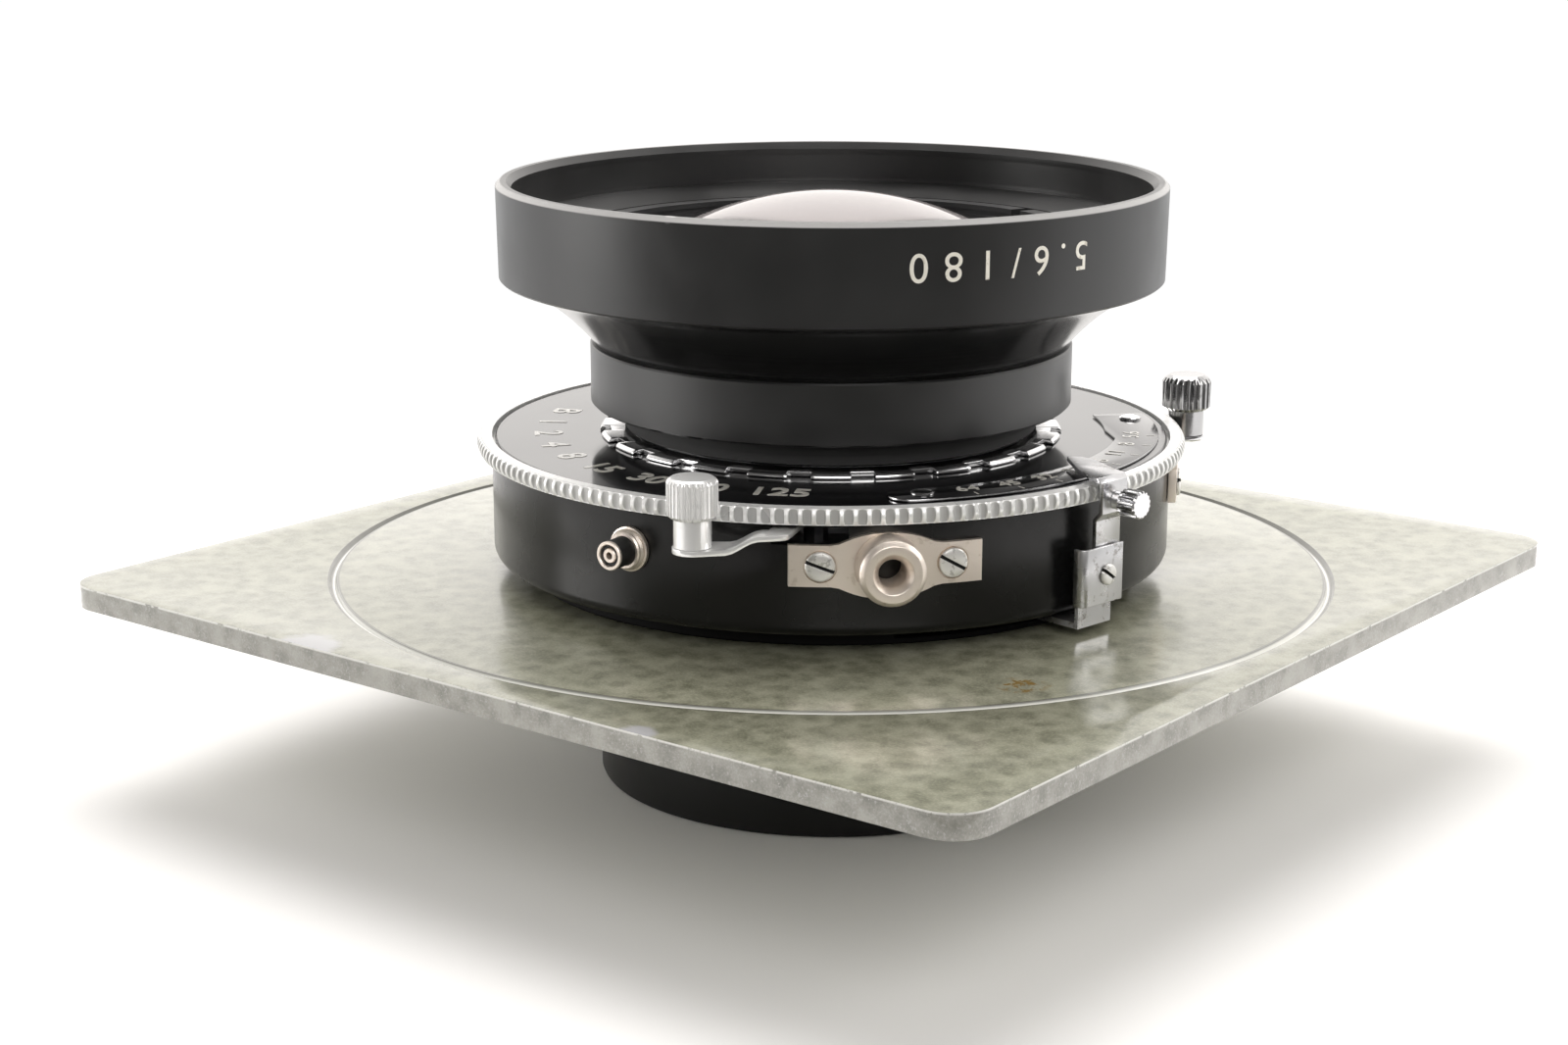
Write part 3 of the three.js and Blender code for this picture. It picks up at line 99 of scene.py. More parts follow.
world = bpy.data.worlds.new("studio")
bpy.context.scene.world = world
world.use_nodes = True
tree = world.node_tree
tree.nodes.clear()
ray = node(tree, "TexCoord")
along = node(tree, "VectorMath", {0: ray.outputs["Generated"], 1: ahead}, operation="DOT_PRODUCT")
bright = ramp(tree, along.outputs["Value"], -0.12, 0.75, 0.14, 1.5, interpolation_type="SMOOTHSTEP")
around = node(tree, "Background", {"Color": (1, 0.97, 0.94, 1), "Strength": bright})
seen = node(tree, "Background", {"Color": (1, 1, 1, 1), "Strength": PURE_WHITE})
direct = node(tree, "LightPath")
sky = node(tree, "MixShader", {0: direct.outputs["Is Camera Ray"], 1: around.outputs[0], 2: seen.outputs[0]})
node(tree, "OutputWorld", {"Surface": sky.outputs[0]})

LENS_MIDDLE = Vector((0, 0, 0.03))
for name, spot, size, power in (("top box", (-0.12, 0.16, 0.62), (0.62, 0.46), 4.2),
                                ("left box", (-0.50, -0.46, 0.14), (0.34, 0.26), 1.7),
                                ("right box", (0.46, 0.36, 0.34), (0.30, 0.40), 1.2),
                                ("front box", (0.54, -0.46, 0.48), (0.60, 0.50), 3.3)):
    lamp = bpy.data.lights.new(name, "AREA")
    lamp.shape = "RECTANGLE"
    lamp.size, lamp.size_y = size
    lamp.energy = power
    lamp.color = (1, 0.98, 0.96)
    box = bpy.data.objects.new(name, lamp)
    box.location = spot
    box.rotation_euler = (LENS_MIDDLE - box.location).to_track_quat("-Z", "Y").to_euler()
    bpy.context.collection.objects.link(box)


# Lens board: a square of 2.4 mm aluminium with rounded corners, a round hole and a V groove turned
# in its face, stoved in grey-green hammertone. Its edges are worn pale, with two chips and a stain.
def pick(piece):
    """Makes one piece the only one selected."""
    bpy.ops.object.select_all(action="DESELECT")
    piece.select_set(True)
    bpy.context.view_layer.objects.active = piece
    return piece


def settle(piece):
    """Puts a piece's place, turn and size into its mesh."""
    pick(piece)
    bpy.ops.object.transform_apply(location=True, rotation=True, scale=True)
    return piece


def block(centre, size, turn=0.0):
    """A box at a place, in millimetres, turned about its own upright axis."""
    bpy.ops.object.select_all(action="DESELECT")
    bpy.ops.mesh.primitive_cube_add(size=1, location=[value * MM for value in centre],
                                    scale=[value * MM for value in size])
    bpy.context.object.rotation_euler.z = math.radians(turn)
    return settle(bpy.context.object)


def peg(centre, radius, depth, steps):
    """A plain round bar at a place, in millimetres."""
    bpy.ops.object.select_all(action="DESELECT")
    bpy.ops.mesh.primitive_cylinder_add(vertices=steps, radius=radius * MM, depth=depth * MM,
                                        location=[value * MM for value in centre])
    return settle(bpy.context.object)


def walk(name, points, spot):
    """A line through points, pulled out of one vertex and closed unless both ends are on the axis."""
    bpy.ops.object.select_all(action="DESELECT")
    bpy.ops.mesh.primitive_plane_add(size=MM)
    made = bpy.context.object
    made.name = made.data.name = name
    bpy.ops.object.mode_set(mode="EDIT")
    bpy.ops.mesh.merge(type="CENTER")
    places = [spot(*point) * MM for point in points]
    bpy.ops.transform.translate(value=places[0])
    if points[0][0] or points[-1][0]:
        places.append(places[0])
    for before, after in zip(places, places[1:]):
        bpy.ops.mesh.extrude_region_move(TRANSFORM_OT_translate={"value": after - before})
    bpy.ops.mesh.select_all(action="SELECT")
    bpy.ops.mesh.remove_doubles(threshold=MM / 1000)
    return made


def turned(name, profile, steps=192):
    """A lathe piece: a profile of radius and height, spun about the lens axis."""
    made = walk(name, profile, lambda radius, height: Vector((radius, 0, height)))
    bpy.ops.mesh.spin(steps=steps, angle=math.tau, center=(0, 0, 0), axis=(0, 0, 1))
    bpy.ops.mesh.select_all(action="SELECT")
    bpy.ops.mesh.remove_doubles(threshold=MM / 500)
    bpy.ops.mesh.normals_make_consistent(inside=False)
    bpy.ops.object.mode_set(mode="OBJECT")
    return made


def combine(piece, other, how="DIFFERENCE"):
    """Cuts a piece by another, joins the two or keeps what they share, and drops the other."""
    tool = piece.modifiers.new("combine", "BOOLEAN")
    tool.operation, tool.object, tool.solver = how, other, "EXACT"
    pick(piece)
    bpy.ops.object.modifier_apply(modifier=tool.name)
    bpy.data.objects.remove(other, do_unlink=True)
    return piece


def soften(piece, width=0.0, corner=30, segments=2, smooth=32):
    """Breaks a piece's sharp edges by a width in millimetres and shades what is left smooth."""
    pick(piece)
    if width:
        edge = piece.modifiers.new("edge", "BEVEL")
        edge.width, edge.segments = width * MM, segments
        edge.limit_method, edge.angle_limit = "ANGLE", math.radians(corner)
        bpy.ops.object.modifier_apply(modifier=edge.name)
    bpy.ops.object.shade_smooth_by_angle(angle=math.radians(smooth))
    return piece


def fit(piece, material, body, slot, *nodes):
    """Gives a finished piece its material and body and hides the nodes it stands for; slot is not used."""
    if material:
        piece.data.materials.clear()
        piece.data.materials.append(material)
    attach(piece, body)
    if nodes:
        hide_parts(*nodes)
    return piece


def noise(tree, place, scale, detail, **sockets):
    """A cloudy value over the surface."""
    return node(tree, "TexNoise", {"Vector": place, "Scale": scale, "Detail": detail, **sockets}).outputs[0]


def reckon(tree, operation, *values, **settings):
    """One step of arithmetic between masks or measures."""
    return node(tree, "Math", dict(enumerate(values)), operation=operation, **settings).outputs[0]


def bump(tree, shader, height, depth, strength=1.0):
    """Relief from a height over the surface, with its depth in metres."""
    relief = node(tree, "Bump", {"Height": height, "Distance": depth, "Strength": strength})
    tree.links.new(relief.outputs["Normal"], shader.inputs["Normal"])
    return relief.outputs["Normal"]


def axis_reach(tree, place):
    """How far a place is from the lens axis, in metres."""
    flat_place = node(tree, "VectorMath", {0: place, 1: (1, 1, 0)}, operation="MULTIPLY")
    return node(tree, "VectorMath", {0: flat_place.outputs[0]}, operation="LENGTH").outputs["Value"]


def height_of(tree, place):
    """How high a place is over the table, in metres."""
    return node(tree, "SeparateXYZ", {0: place}).outputs["Z"]


def group(name, inputs, outputs):
    """A shader node group with named sockets, and its input and output nodes."""
    made = bpy.data.node_groups.new(name, "ShaderNodeTree")
    for side, labels in (("INPUT", inputs), ("OUTPUT", outputs)):
        for label in labels:
            kind = "NodeSocketVector" if label in ("Vector", "Normal") else "NodeSocketFloat"
            made.interface.new_socket(label, in_out=side, socket_type=kind)
    return made, made.nodes.new("NodeGroupInput"), made.nodes.new("NodeGroupOutput")


grain, enter, leave = group("grain", ("Vector", "Scale", "Depth"), ("Normal",))
field = noise(grain, enter.outputs["Vector"], enter.outputs["Scale"], 4.0)
bump(grain, leave, field, enter.outputs["Depth"])

wear, enter, leave = group("wear", ("Vector", "Scale", "Cover"), ("Mask",))
field = noise(wear, enter.outputs["Vector"], enter.outputs["Scale"], 6.0, Roughness=0.65)
level = reckon(wear, "SUBTRACT", 1.0, enter.outputs["Cover"])
wear.links.new(ramp(wear, field, level, reckon(wear, "ADD", level, 0.06)), leave.inputs["Mask"])


def finish(name, colour, metallic, roughness, **sockets):
    """A new material with a plain Principled shader and the piece's own coordinates."""
    made = bpy.data.materials.new(name)
    made.use_nodes = True
    tree = made.node_tree
    shader = tree.nodes["Principled BSDF"]
    shader.inputs["Base Color"].default_value = (*colour, 1)
    shader.inputs["Metallic"].default_value = metallic
    shader.inputs["Roughness"].default_value = roughness
    for label, value in sockets.items():
        shader.inputs[label.replace("_", " ")].default_value = value
    return made, tree, shader, node(tree, "TexCoord").outputs["Object"]


def use(tree, made, **sockets):
    """A node group placed in a material with its own values."""
    return node(tree, "Group", sockets, node_tree=made).outputs[0]


def mix(tree, share, first, second):
    """Two colours mixed by a share."""
    both = node(tree, "Mix", {0: share}, data_type="RGBA")
    for index, value in ((6, first), (7, second)):
        if isinstance(value, bpy.types.NodeSocket):
            tree.links.new(value, both.inputs[index])
        else:
            both.inputs[index].default_value = (*value, 1)
    return both.outputs[2]


def near(tree, place, centre, radius, soft):
    """A mask that is one within a radius of a place, in millimetres, with a ragged rim."""
    away = node(tree, "VectorMath", {0: place, 1: Vector(centre) * MM}, operation="DISTANCE")
    ragged = noise(tree, place, 900.0, 3.0)
    uneven = reckon(tree, "MULTIPLY_ADD", ragged, -soft * MM * 2, away.outputs["Value"])
    return ramp(tree, uneven, radius * MM, (radius - soft) * MM)


def hammertone_paint(name, dark, pale, roughness):
    """Stoved hammer paint: dimples between pale veins, mottled tone and a fine metallic speckle."""
    made, tree, shader, place = finish(name, dark, 0.0, roughness, Coat_Weight=0.9, Coat_Roughness=0.05,
                                       Coat_IOR=1.55)
    warp = node(tree, "TexNoise", {"Vector": place, "Scale": 600.0, "Detail": 2.0})
    bent = node(tree, "VectorMath", {0: warp.outputs["Color"], 1: (0.0016, 0.0016, 0.0016), 2: place},
                operation="MULTIPLY_ADD")
    dimples = node(tree, "TexVoronoi", {"Vector": bent.outputs[0], "Scale": 520.0, "Smoothness": 0.8},
                   feature="SMOOTH_F1").outputs["Distance"]
    mottle = noise(tree, place, 620.0, 11.0, Roughness=0.78)
    veins = ramp(tree, dimples, 0.25, 0.75, high=0.55)
    shade = reckon(tree, "MULTIPLY_ADD", ramp(tree, mottle, 0.34, 0.70), 0.62, veins)
    speckle = ramp(tree, noise(tree, place, 4200.0, 3.0), 0.46, 0.74, high=0.42)
    total = reckon(tree, "ADD", shade, speckle, use_clamp=True)
    waves = reckon(tree, "MULTIPLY_ADD", dimples, 0.8, mottle)
    tree.links.new(bump(tree, shader, waves, 0.00003, 0.5), shader.inputs["Coat Normal"])
    return made, tree, shader, place, mix(tree, total, dark, pale)


BOARD_LOW, BOARD_TOP, BOARD_SIDE, BOARD_CORNER = 20.16, 22.56, 114.3, 4
HOLE, SEAT, SEAT_TOP = 20.8, 26, BOARD_LOW + 0.15
GROOVE, GROOVE_FLOOR = 53, BOARD_TOP - 0.4
board = block((0, 0, (BOARD_LOW + BOARD_TOP) / 2), (BOARD_SIDE, BOARD_SIDE, BOARD_TOP - BOARD_LOW))
board.name = board.data.name = "board"
bpy.ops.object.mode_set(mode="EDIT")
bpy.ops.mesh.select_mode(type="EDGE")
bpy.ops.mesh.select_all(action="DESELECT")
bpy.ops.object.mode_set(mode="OBJECT")
for edge in board.data.edges:
    low, high = (board.data.vertices[i].co for i in edge.vertices)
    edge.select = abs(low.z - high.z) > MM
bpy.ops.object.mode_set(mode="EDIT")
bpy.ops.mesh.bevel(offset=BOARD_CORNER * MM, segments=12, affect="EDGES")
bpy.ops.mesh.select_mode(type="VERT")
bpy.ops.object.mode_set(mode="OBJECT")
combine(board, peg((0, 0, 21), HOLE, 20, 128))
combine(board, turned("groove", [(GROOVE - 0.55, BOARD_TOP + 0.1), (GROOVE - 0.2, GROOVE_FLOOR),
                                 (GROOVE + 0.2, GROOVE_FLOOR), (GROOVE + 0.55, BOARD_TOP + 0.1)], 256))
combine(board, turned("seat", [(0, BOARD_LOW - 0.2), (SEAT, BOARD_LOW - 0.2), (SEAT, SEAT_TOP),
                               (0, SEAT_TOP)], 128))
soften(board, 0.32, segments=3, smooth=40)

face_paint, tree, shader, place, colour = hammertone_paint(
    "hammertone face", (0.105, 0.107, 0.068), (0.305, 0.305, 0.225), 0.36)
chip_left = near(tree, place, (-20.4, -57.0, BOARD_TOP), 2.6, 1.4)
chip_near = near(tree, place, (22.2, -57.0, BOARD_TOP), 1.3, 0.9)
stain = near(tree, place, (41.3, -24.6, BOARD_TOP), 1.5, 1.2)
# Painted highlight on the groove's inner wall, painted shade on its outer wall and its inner brink.
groove_away = reckon(tree, "SUBTRACT", axis_reach(tree, place), GROOVE * MM)
groove_painted_light_and_shade = ramp(tree, reckon(tree, "ABSOLUTE", groove_away), 0.00056, 0.0005, high=0.85)
groove_painted_shade_side = ramp(tree, groove_away, -0.00008, 0.00008)
brink = reckon(tree, "ABSOLUTE", reckon(tree, "ADD", groove_away, 0.00055))
brink_painted_shadow = ramp(tree, brink, 0.00022, 0.0001, high=0.75)
colour = mix(tree, groove_painted_light_and_shade, colour, mix(tree, groove_painted_shade_side, (0.80, 0.80, 0.75), (0.04, 0.04, 0.03)))
colour = mix(tree, brink_painted_shadow, colour, (0.03, 0.03, 0.02))
stain_patches = use(tree, wear, Vector=place, Scale=1100.0, Cover=0.5)
colour = mix(tree, reckon(tree, "MULTIPLY", stain, stain_patches), colour, (0.19, 0.115, 0.02))
colour = mix(tree, reckon(tree, "MAXIMUM", chip_left, chip_near), colour, (0.33, 0.33, 0.34))
tree.links.new(colour, shader.inputs["Base Color"])

edge_paint, tree, shader, place, colour = hammertone_paint(
    "hammertone edge", (0.135, 0.132, 0.112), (0.32, 0.315, 0.28), 0.5)
for scale, cover, rubbed in ((2600.0, 0.42, (0.34, 0.335, 0.31)), (4200.0, 0.35, (0.12, 0.117, 0.10))):
    colour = mix(tree, use(tree, wear, Vector=place, Scale=scale, Cover=cover), colour, rubbed)
# Worn paint and painted highlight: a pale broken line along the top of the board's edges.
top_line_wear_and_highlight = ramp(tree, height_of(tree, place), 0.02230, 0.02244)
lip_patches = use(tree, wear, Vector=place, Scale=900.0, Cover=0.62)
colour = mix(tree, reckon(tree, "MULTIPLY", top_line_wear_and_highlight, lip_patches), colour, (0.66, 0.655, 0.62))
tree.links.new(colour, shader.inputs["Base Color"])

fit(board, face_paint, "lens", "hammertone", "lens_board")
board.data.materials.append(edge_paint)
EDGE_START, CORNER_START = 56.9, 60
for face in board.data.polygons:
    on_corner = abs(face.normal.z) < 0.9 and face.center.xy.length > CORNER_START * MM
    on_side = max(abs(face.center.x), abs(face.center.y)) > EDGE_START * MM
    face.material_index = int(on_side or on_corner)


# Retaining ring: a turned brass nut, blackened, that clamps the shutter's tube from behind the
# board. Four notches in its rear face take a spanner.
def carry(material, *names):
    """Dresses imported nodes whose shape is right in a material."""
    for name in names:
        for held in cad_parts[name].material_slots:
            held.material = material


turning, enter, leave = group("turning", ("Vector", "Scale"), ("Value",))
lathe = node(turning, "CombineXYZ", {"X": axis_reach(turning, enter.outputs["Vector"]),
                                     "Z": height_of(turning, enter.outputs["Vector"])})
field = noise(turning, lathe.outputs[0], enter.outputs["Scale"], 3.0)
turning.links.new(field, leave.inputs["Value"])


def uneven_gloss(tree, shader, place, scale, low, high, detail=3.0, start=0.3):
    """Smudges: a roughness that changes slowly over the surface."""
    gloss = ramp(tree, noise(tree, place, scale, detail), start, 0.7, low, high)
    tree.links.new(gloss, shader.inputs["Roughness"])


def worn(tree, shader, place, scale, cover, rubbed):
    """Patches of a second colour over a finish's own."""
    own = tuple(shader.inputs["Base Color"].default_value)[:3]
    patches = use(tree, wear, Vector=place, Scale=scale, Cover=cover)
    tree.links.new(mix(tree, patches, own, rubbed), shader.inputs["Base Color"])


def lathe_finish(name, colour, metallic, roughness, scale=3500.0, depth=0.000006, spread=0.12, **sockets):
    """A metal or anodised finish with fine rings left by the tool and uneven gloss."""
    made, tree, shader, place = finish(name, colour, metallic, roughness, **sockets)
    bump(tree, shader, use(tree, turning, Vector=place, Scale=scale), depth)
    uneven_gloss(tree, shader, place, 130.0, max(roughness - spread, 0.03), roughness + spread)
    return made, tree, shader, place


black_metal = lathe_finish("black anodising", (0.022, 0.022, 0.023), 0.0, 0.42)[0]
nut = turned("board_nut", [(20.75, 17.45), (24.0, 17.45), (24.2, 17.65), (24.2, 20.05), (24.0, 20.25),
                           (20.75, 20.25)])
for angle in (0, 90):
    combine(nut, block((0, 0, 17.95), (60, 2.4, 1), angle))
fit(soften(nut, 0.12), black_metal, "lens", "black_anodised", "retaining_ring")


# Shutter case: a drum turned from aluminium, with a small round at its foot and two slots for the
# thumb levers, sprayed semi-gloss black. The rear flange and its tube stand under it.
def plate(name, points, low, high):
    """A flat piece: a closed outline in millimetres, made a face and raised to its thickness."""
    made = walk(name, points, lambda x, y: Vector((x, y, low)))
    bpy.ops.mesh.edge_face_add()
    bpy.ops.mesh.extrude_region_move(TRANSFORM_OT_translate={"value": (0, 0, (high - low) * MM)})
    bpy.ops.mesh.select_all(action="SELECT")
    bpy.ops.mesh.normals_make_consistent(inside=False)
    bpy.ops.object.mode_set(mode="OBJECT")
    return made


def arc(radius, start, end, steps, x=0.0, y=0.0):
    """Points along an arc, ends included."""
    turns = [math.radians(start + (end - start) * i / steps) for i in range(steps + 1)]
    return [(x + radius * math.cos(t), y + radius * math.sin(t)) for t in turns]


RELEASE, FOCUS = -59.2, 66.7
SLOT_LOW, SLOT_HIGH, SLOT_BEFORE, SLOT_AFTER = 33.53, 35.33, 2.42, 9.41
case = turned("case", [
    (31.1, 24.38), (34.63, 24.38), *[(34.63 + x, 25.68 + z) for x, z in arc(1.3, -90, 0, 6)][1:],
    (35.93, 35.33), (35.78, 35.48), (34.9, 35.48), (34.9, 30.42), (34.3, 30.42), (34.3, 26.47),
    (32.9, 26.47), (32.9, 24.98), (31.1, 24.98)], 288)
for angle in (RELEASE, FOCUS):
    start, end = angle - SLOT_BEFORE, angle + SLOT_AFTER
    combine(case, plate("slot", arc(37, start, end, 4) + arc(33, end, start, 4), SLOT_LOW, SLOT_HIGH))
soften(case)
case_paint, tree, shader, place = finish("case paint", (0.006, 0.006, 0.006), 0.0, 0.26,
                                         Specular_IOR_Level=0.36)
tree.links.new(use(tree, grain, Vector=place, Scale=900.0, Depth=0.00001), shader.inputs["Normal"])
uneven_gloss(tree, shader, place, 90.0, 0.18, 0.34, detail=4.0)
worn(tree, shader, place, 2600.0, 0.24, (0.035, 0.035, 0.035))
fit(case, case_paint, "lens", "black_paint", "shutter_case")

flange = turned("flange", [
    (18.2, 17.0), (20.4, 17.0), (20.4, 22.62), (32.15, 22.62), (32.3, 22.77), (32.3, 24.32), (31.7, 24.32),
    (31.7, 23.12), (20.4, 23.12), (20.4, 24.12), (18.2, 24.12)])
combine(flange, plate("window", arc(34, -41.5, 33.8, 12) + arc(30.6, 33.8, -41.5, 12), 23.18, 25))
# Painted shade: the flange under the case takes a darker, duller copy of the black paint.
flange_shaded_black, tree, shader, place = finish("flange black darkened as painted shade", (0.003, 0.003, 0.003), 0.0, 0.6,
                                           Specular_IOR_Level=0.12)
worn(tree, shader, place, 2600.0, 0.2, (0.012, 0.012, 0.012))
fit(soften(flange), flange_shaded_black, "lens", "black_paint", "rear_flange")


# Works inside the case: steel plates and rings, and two sets of five blades of thin blackened
# steel. They keep their imported shapes; in the real shutter they turn on their own pivots.
plate_steel = lathe_finish("plate steel", (0.42, 0.42, 0.43), 1.0, 0.34)[0]
blade_black, tree, shader, place = finish("blade black", (0.03, 0.031, 0.034), 0.6, 0.42)
worn(tree, shader, place, 420.0, 0.42, (0.075, 0.075, 0.08))
carry(plate_steel, "blade_plate", "main_plate", "blade_ring", "release_post", "focus_post")
carry(blade_black, *[f"{kind}_blade_{i}" for kind in ("iris", "shutter") for i in range(1, 6)])


# Wall fittings: nickel-silver plates bent to the drum, held by slotted screws. The near one holds
# the threaded bush for a cable release.
def at_station(piece, angle, x=0.0, y=0.0, z=0.0, outwards=False):
    """Puts a piece, or one that is laid to point outwards, at an angle round the lens axis."""
    laid = Matrix.Rotation(math.radians(90), 4, "Y") if outwards else Matrix.Identity(4)
    offset = Matrix.Translation(Vector((x, y, z)) * MM)
    piece.matrix_world = Matrix.Rotation(math.radians(angle), 4, "Z") @ offset @ laid
    return settle(piece)


WALL, SCREW_RADIUS, SCREW_HEIGHT = 36.0, 1.45, 0.35


def wall_plate(name, points, z, thickness, angle):
    """A flat blank stood against the drum and cut to a shell that follows it."""
    blank = plate(name, points, 20, 45)
    stood = Matrix(((0, 0, 1, 0), (1, 0, 0, 0), (0, 1, 0, 0), (0, 0, 0, 1)))
    blank.matrix_world = Matrix.Translation((0, 0, z * MM)) @ stood
    settle(blank)
    outside = WALL + thickness
    shell = turned("shell", [(WALL, z - 8), (outside, z - 8), (outside, z + 8), (WALL, z + 8)], 360)
    return at_station(combine(blank, shell, "INTERSECT"), angle)


def slotted_screw(name, angle, x, z, radius, height, slot_turn):
    """A low domed head on the wall, with a slot sawn across it, its faces painted black as shade."""
    head = turned(name, [(0, 0), (radius, 0), (radius, height * 0.45), (radius * 0.93, height * 0.72),
                         (radius * 0.7, height * 0.93), (0, height)], 40)
    combine(head, block((0, 0, height), (10, 0.32, height * 1.8), slot_turn))
    head.data.materials.append(head_metal)
    head.data.materials.append(painted_slot_shade)
    soften(head, 0.03)
    across = Vector((-math.sin(math.radians(slot_turn)), math.cos(math.radians(slot_turn)), 0))
    for face in head.data.polygons:
        in_shaded_slot = abs(face.center.dot(across)) < 0.17 * MM and face.center.z < height * 0.85 * MM
        face.material_index = int(in_shaded_slot)
    return at_station(head, angle, x, 0, z, outwards=True)


def recess(piece, angle, x, z):
    """A narrow dark ring cut into a plate round a screw's head."""
    inner, outer = SCREW_RADIUS, SCREW_RADIUS + 0.17
    ring = turned("recess", [(inner, -0.35), (outer, -0.35), (outer, 1), (inner, 1)], 48)
    return combine(piece, at_station(ring, angle, x, 0, z, outwards=True))


def brushed(tree, shader, place, pitch, detail, depth):
    """Fine strokes left by a brush, longest along the axis with the least pitch."""
    drawn = node(tree, "VectorMath", {0: place, 1: pitch}, operation="MULTIPLY")
    bump(tree, shader, noise(tree, drawn.outputs[0], 1.0, detail), depth)


nickel, tree, shader, place = finish("nickel silver", (0.90, 0.81, 0.725), 0.85, 0.40)
brushed(tree, shader, place, (260.0, 260.0, 5200.0), 3.0, 0.000016)
worn(tree, shader, place, 900.0, 0.42, (0.78, 0.69, 0.60))
# Painted shade: a black for the faces inside the screws' slots.
painted_slot_shade = finish("painted_slot_shade", (0.006, 0.006, 0.006), 0.0, 0.8)[0]
head_metal, tree, shader, place = finish("screw heads", (0.86, 0.85, 0.82), 0.6, 0.33)
worn(tree, shader, place, 1500.0, 0.45, (0.55, 0.54, 0.51))

CABLE, CABLE_Z, CABLE_SCREWS = -44.1, 31.67, 10
half_outline = [(9.3, -2.02), (9.3, 2.02), (5.4, 2.02), (4.6, 2.15), (3.9, 2.45), (3.2, 2.72), (2.4, 2.95),
                (1.3, 3.15), (0, 3.2)]
cable_outline = half_outline + [(-x, y) for x, y in half_outline[-2:0:-1]] + [(-9.3, -2.02)]
cable_outline += [(-x, -y) for x, y in half_outline[2:-1]] + [(0, -3.2)]
cable_outline += [(x, -y) for x, y in half_outline[-2:1:-1]]
cable_plate = wall_plate("cable_plate_bent", cable_outline, CABLE_Z, 0.6, CABLE)
hole = turned("hole", [(0, 30), (2.0, 30), (2.0, 45), (0, 45)], 48)
combine(cable_plate, at_station(hole, CABLE, 0, 0, CABLE_Z, outwards=True))
for turn in (-CABLE_SCREWS, CABLE_SCREWS):
    recess(cable_plate, CABLE + turn, 36.6, CABLE_Z)
fit(soften(cable_plate, 0.08, corner=50), nickel, "lens", "nickel", "cable_plate")
threads = [(1.33 + 0.12 * (i % 2), 39.3 - 0.22 * i) for i in range(17)]
bush = turned("bush", [(1.33, 34.9), (1.9, 34.9), (1.9, 36.65), (3.2, 36.65), (3.2, 39.6), (2.75, 40.05),
                       (1.95, 40.05)] + threads, 96)
at_station(bush, CABLE, 0, 0, CABLE_Z, outwards=True)
fit(soften(bush, 0.05), nickel, "lens", "nickel", "cable_bush")

SIDE, SIDE_Z, SIDE_SCREWS = 35.3, 32.75, 6.4
side_plate = wall_plate("side_plate_bent", [(-6.4, -1.75), (6.4, -1.75), (6.4, 1.75), (-6.4, 1.75)], SIDE_Z,
                        0.8, SIDE)
for turn in (-SIDE_SCREWS, SIDE_SCREWS):
    recess(side_plate, SIDE + turn, 36.8, SIDE_Z)
fit(soften(side_plate, 0.1, corner=50), nickel, "lens", "nickel", "side_plate")

for name, angle, x, z, slot_turn, stands_for in (
        ("cable_screw_a", CABLE - CABLE_SCREWS, 36.65, CABLE_Z, 70, "cable_screw_1"),
        ("cable_screw_b", CABLE + CABLE_SCREWS, 36.65, CABLE_Z, 60, "cable_screw_2"),
        ("side_screw_a", SIDE - SIDE_SCREWS, 36.85, SIDE_Z, 70, "side_screw_1"),
        ("side_screw_b", SIDE + SIDE_SCREWS, 36.85, SIDE_Z, 20, "side_screw_2")):
    screw = slotted_screw(name, angle, x, z, SCREW_RADIUS, SCREW_HEIGHT, slot_turn)
    fit(screw, None, "lens", "chrome", stands_for)


# Flash sync socket: a nickel collar pressed in the wall, a black sleeve, a thin shell, and a
# contact in a moulded insulator. All are turned on one axis that points out of the wall.
SYNC, SYNC_Z = -85, 31.73
moulded, tree, shader, place = finish("black moulding", (0.009, 0.009, 0.009), 0.0, 0.42)
tree.links.new(use(tree, grain, Vector=place, Scale=2500.0, Depth=0.000015), shader.inputs["Normal"])
for name, profile, material, slot, stands_for in (
        ("socket_collar", [(1.48, 35.99), (2.2, 35.99), (2.2, 36.35), (2.02, 36.42), (2.02, 36.62),
                           (1.85, 36.85), (1.85, 37.02), (1.7, 37.19), (1.48, 37.19)],
         nickel, "nickel", "sync_collar"),
        ("socket_sleeve", [(1.305, 34.9), (1.42, 34.9), (1.42, 39.1), (1.38, 39.17), (1.305, 39.17)],
         moulded, "insulator", "sync_sleeve"),
        ("socket_shell", [(1.07, 34.9), (1.245, 34.9), (1.245, 39.23), (1.42, 39.23), (1.42, 39.46),
                          (1.35, 39.53), (1.14, 39.53), (1.07, 39.46)],
         nickel, "nickel", "sync_shell"),
        ("socket_insulator", [(0.79, 34.9), (1.01, 34.9), (1.01, 39.2), (0.79, 39.2)],
         moulded, "insulator", "sync_insulator"),
        ("socket_contact", [(0, 34.9), (0.73, 34.9), (0.73, 39.33), (0.66, 39.43), (0.36, 39.43),
                            (0.36, 36.5), (0, 36.5)],
         nickel, "nickel", "sync_contact")):
    tube = at_station(turned(name, profile, 64), SYNC, 0, 0, SYNC_Z, outwards=True)
    fit(soften(tube), material, "lens", slot, stands_for)


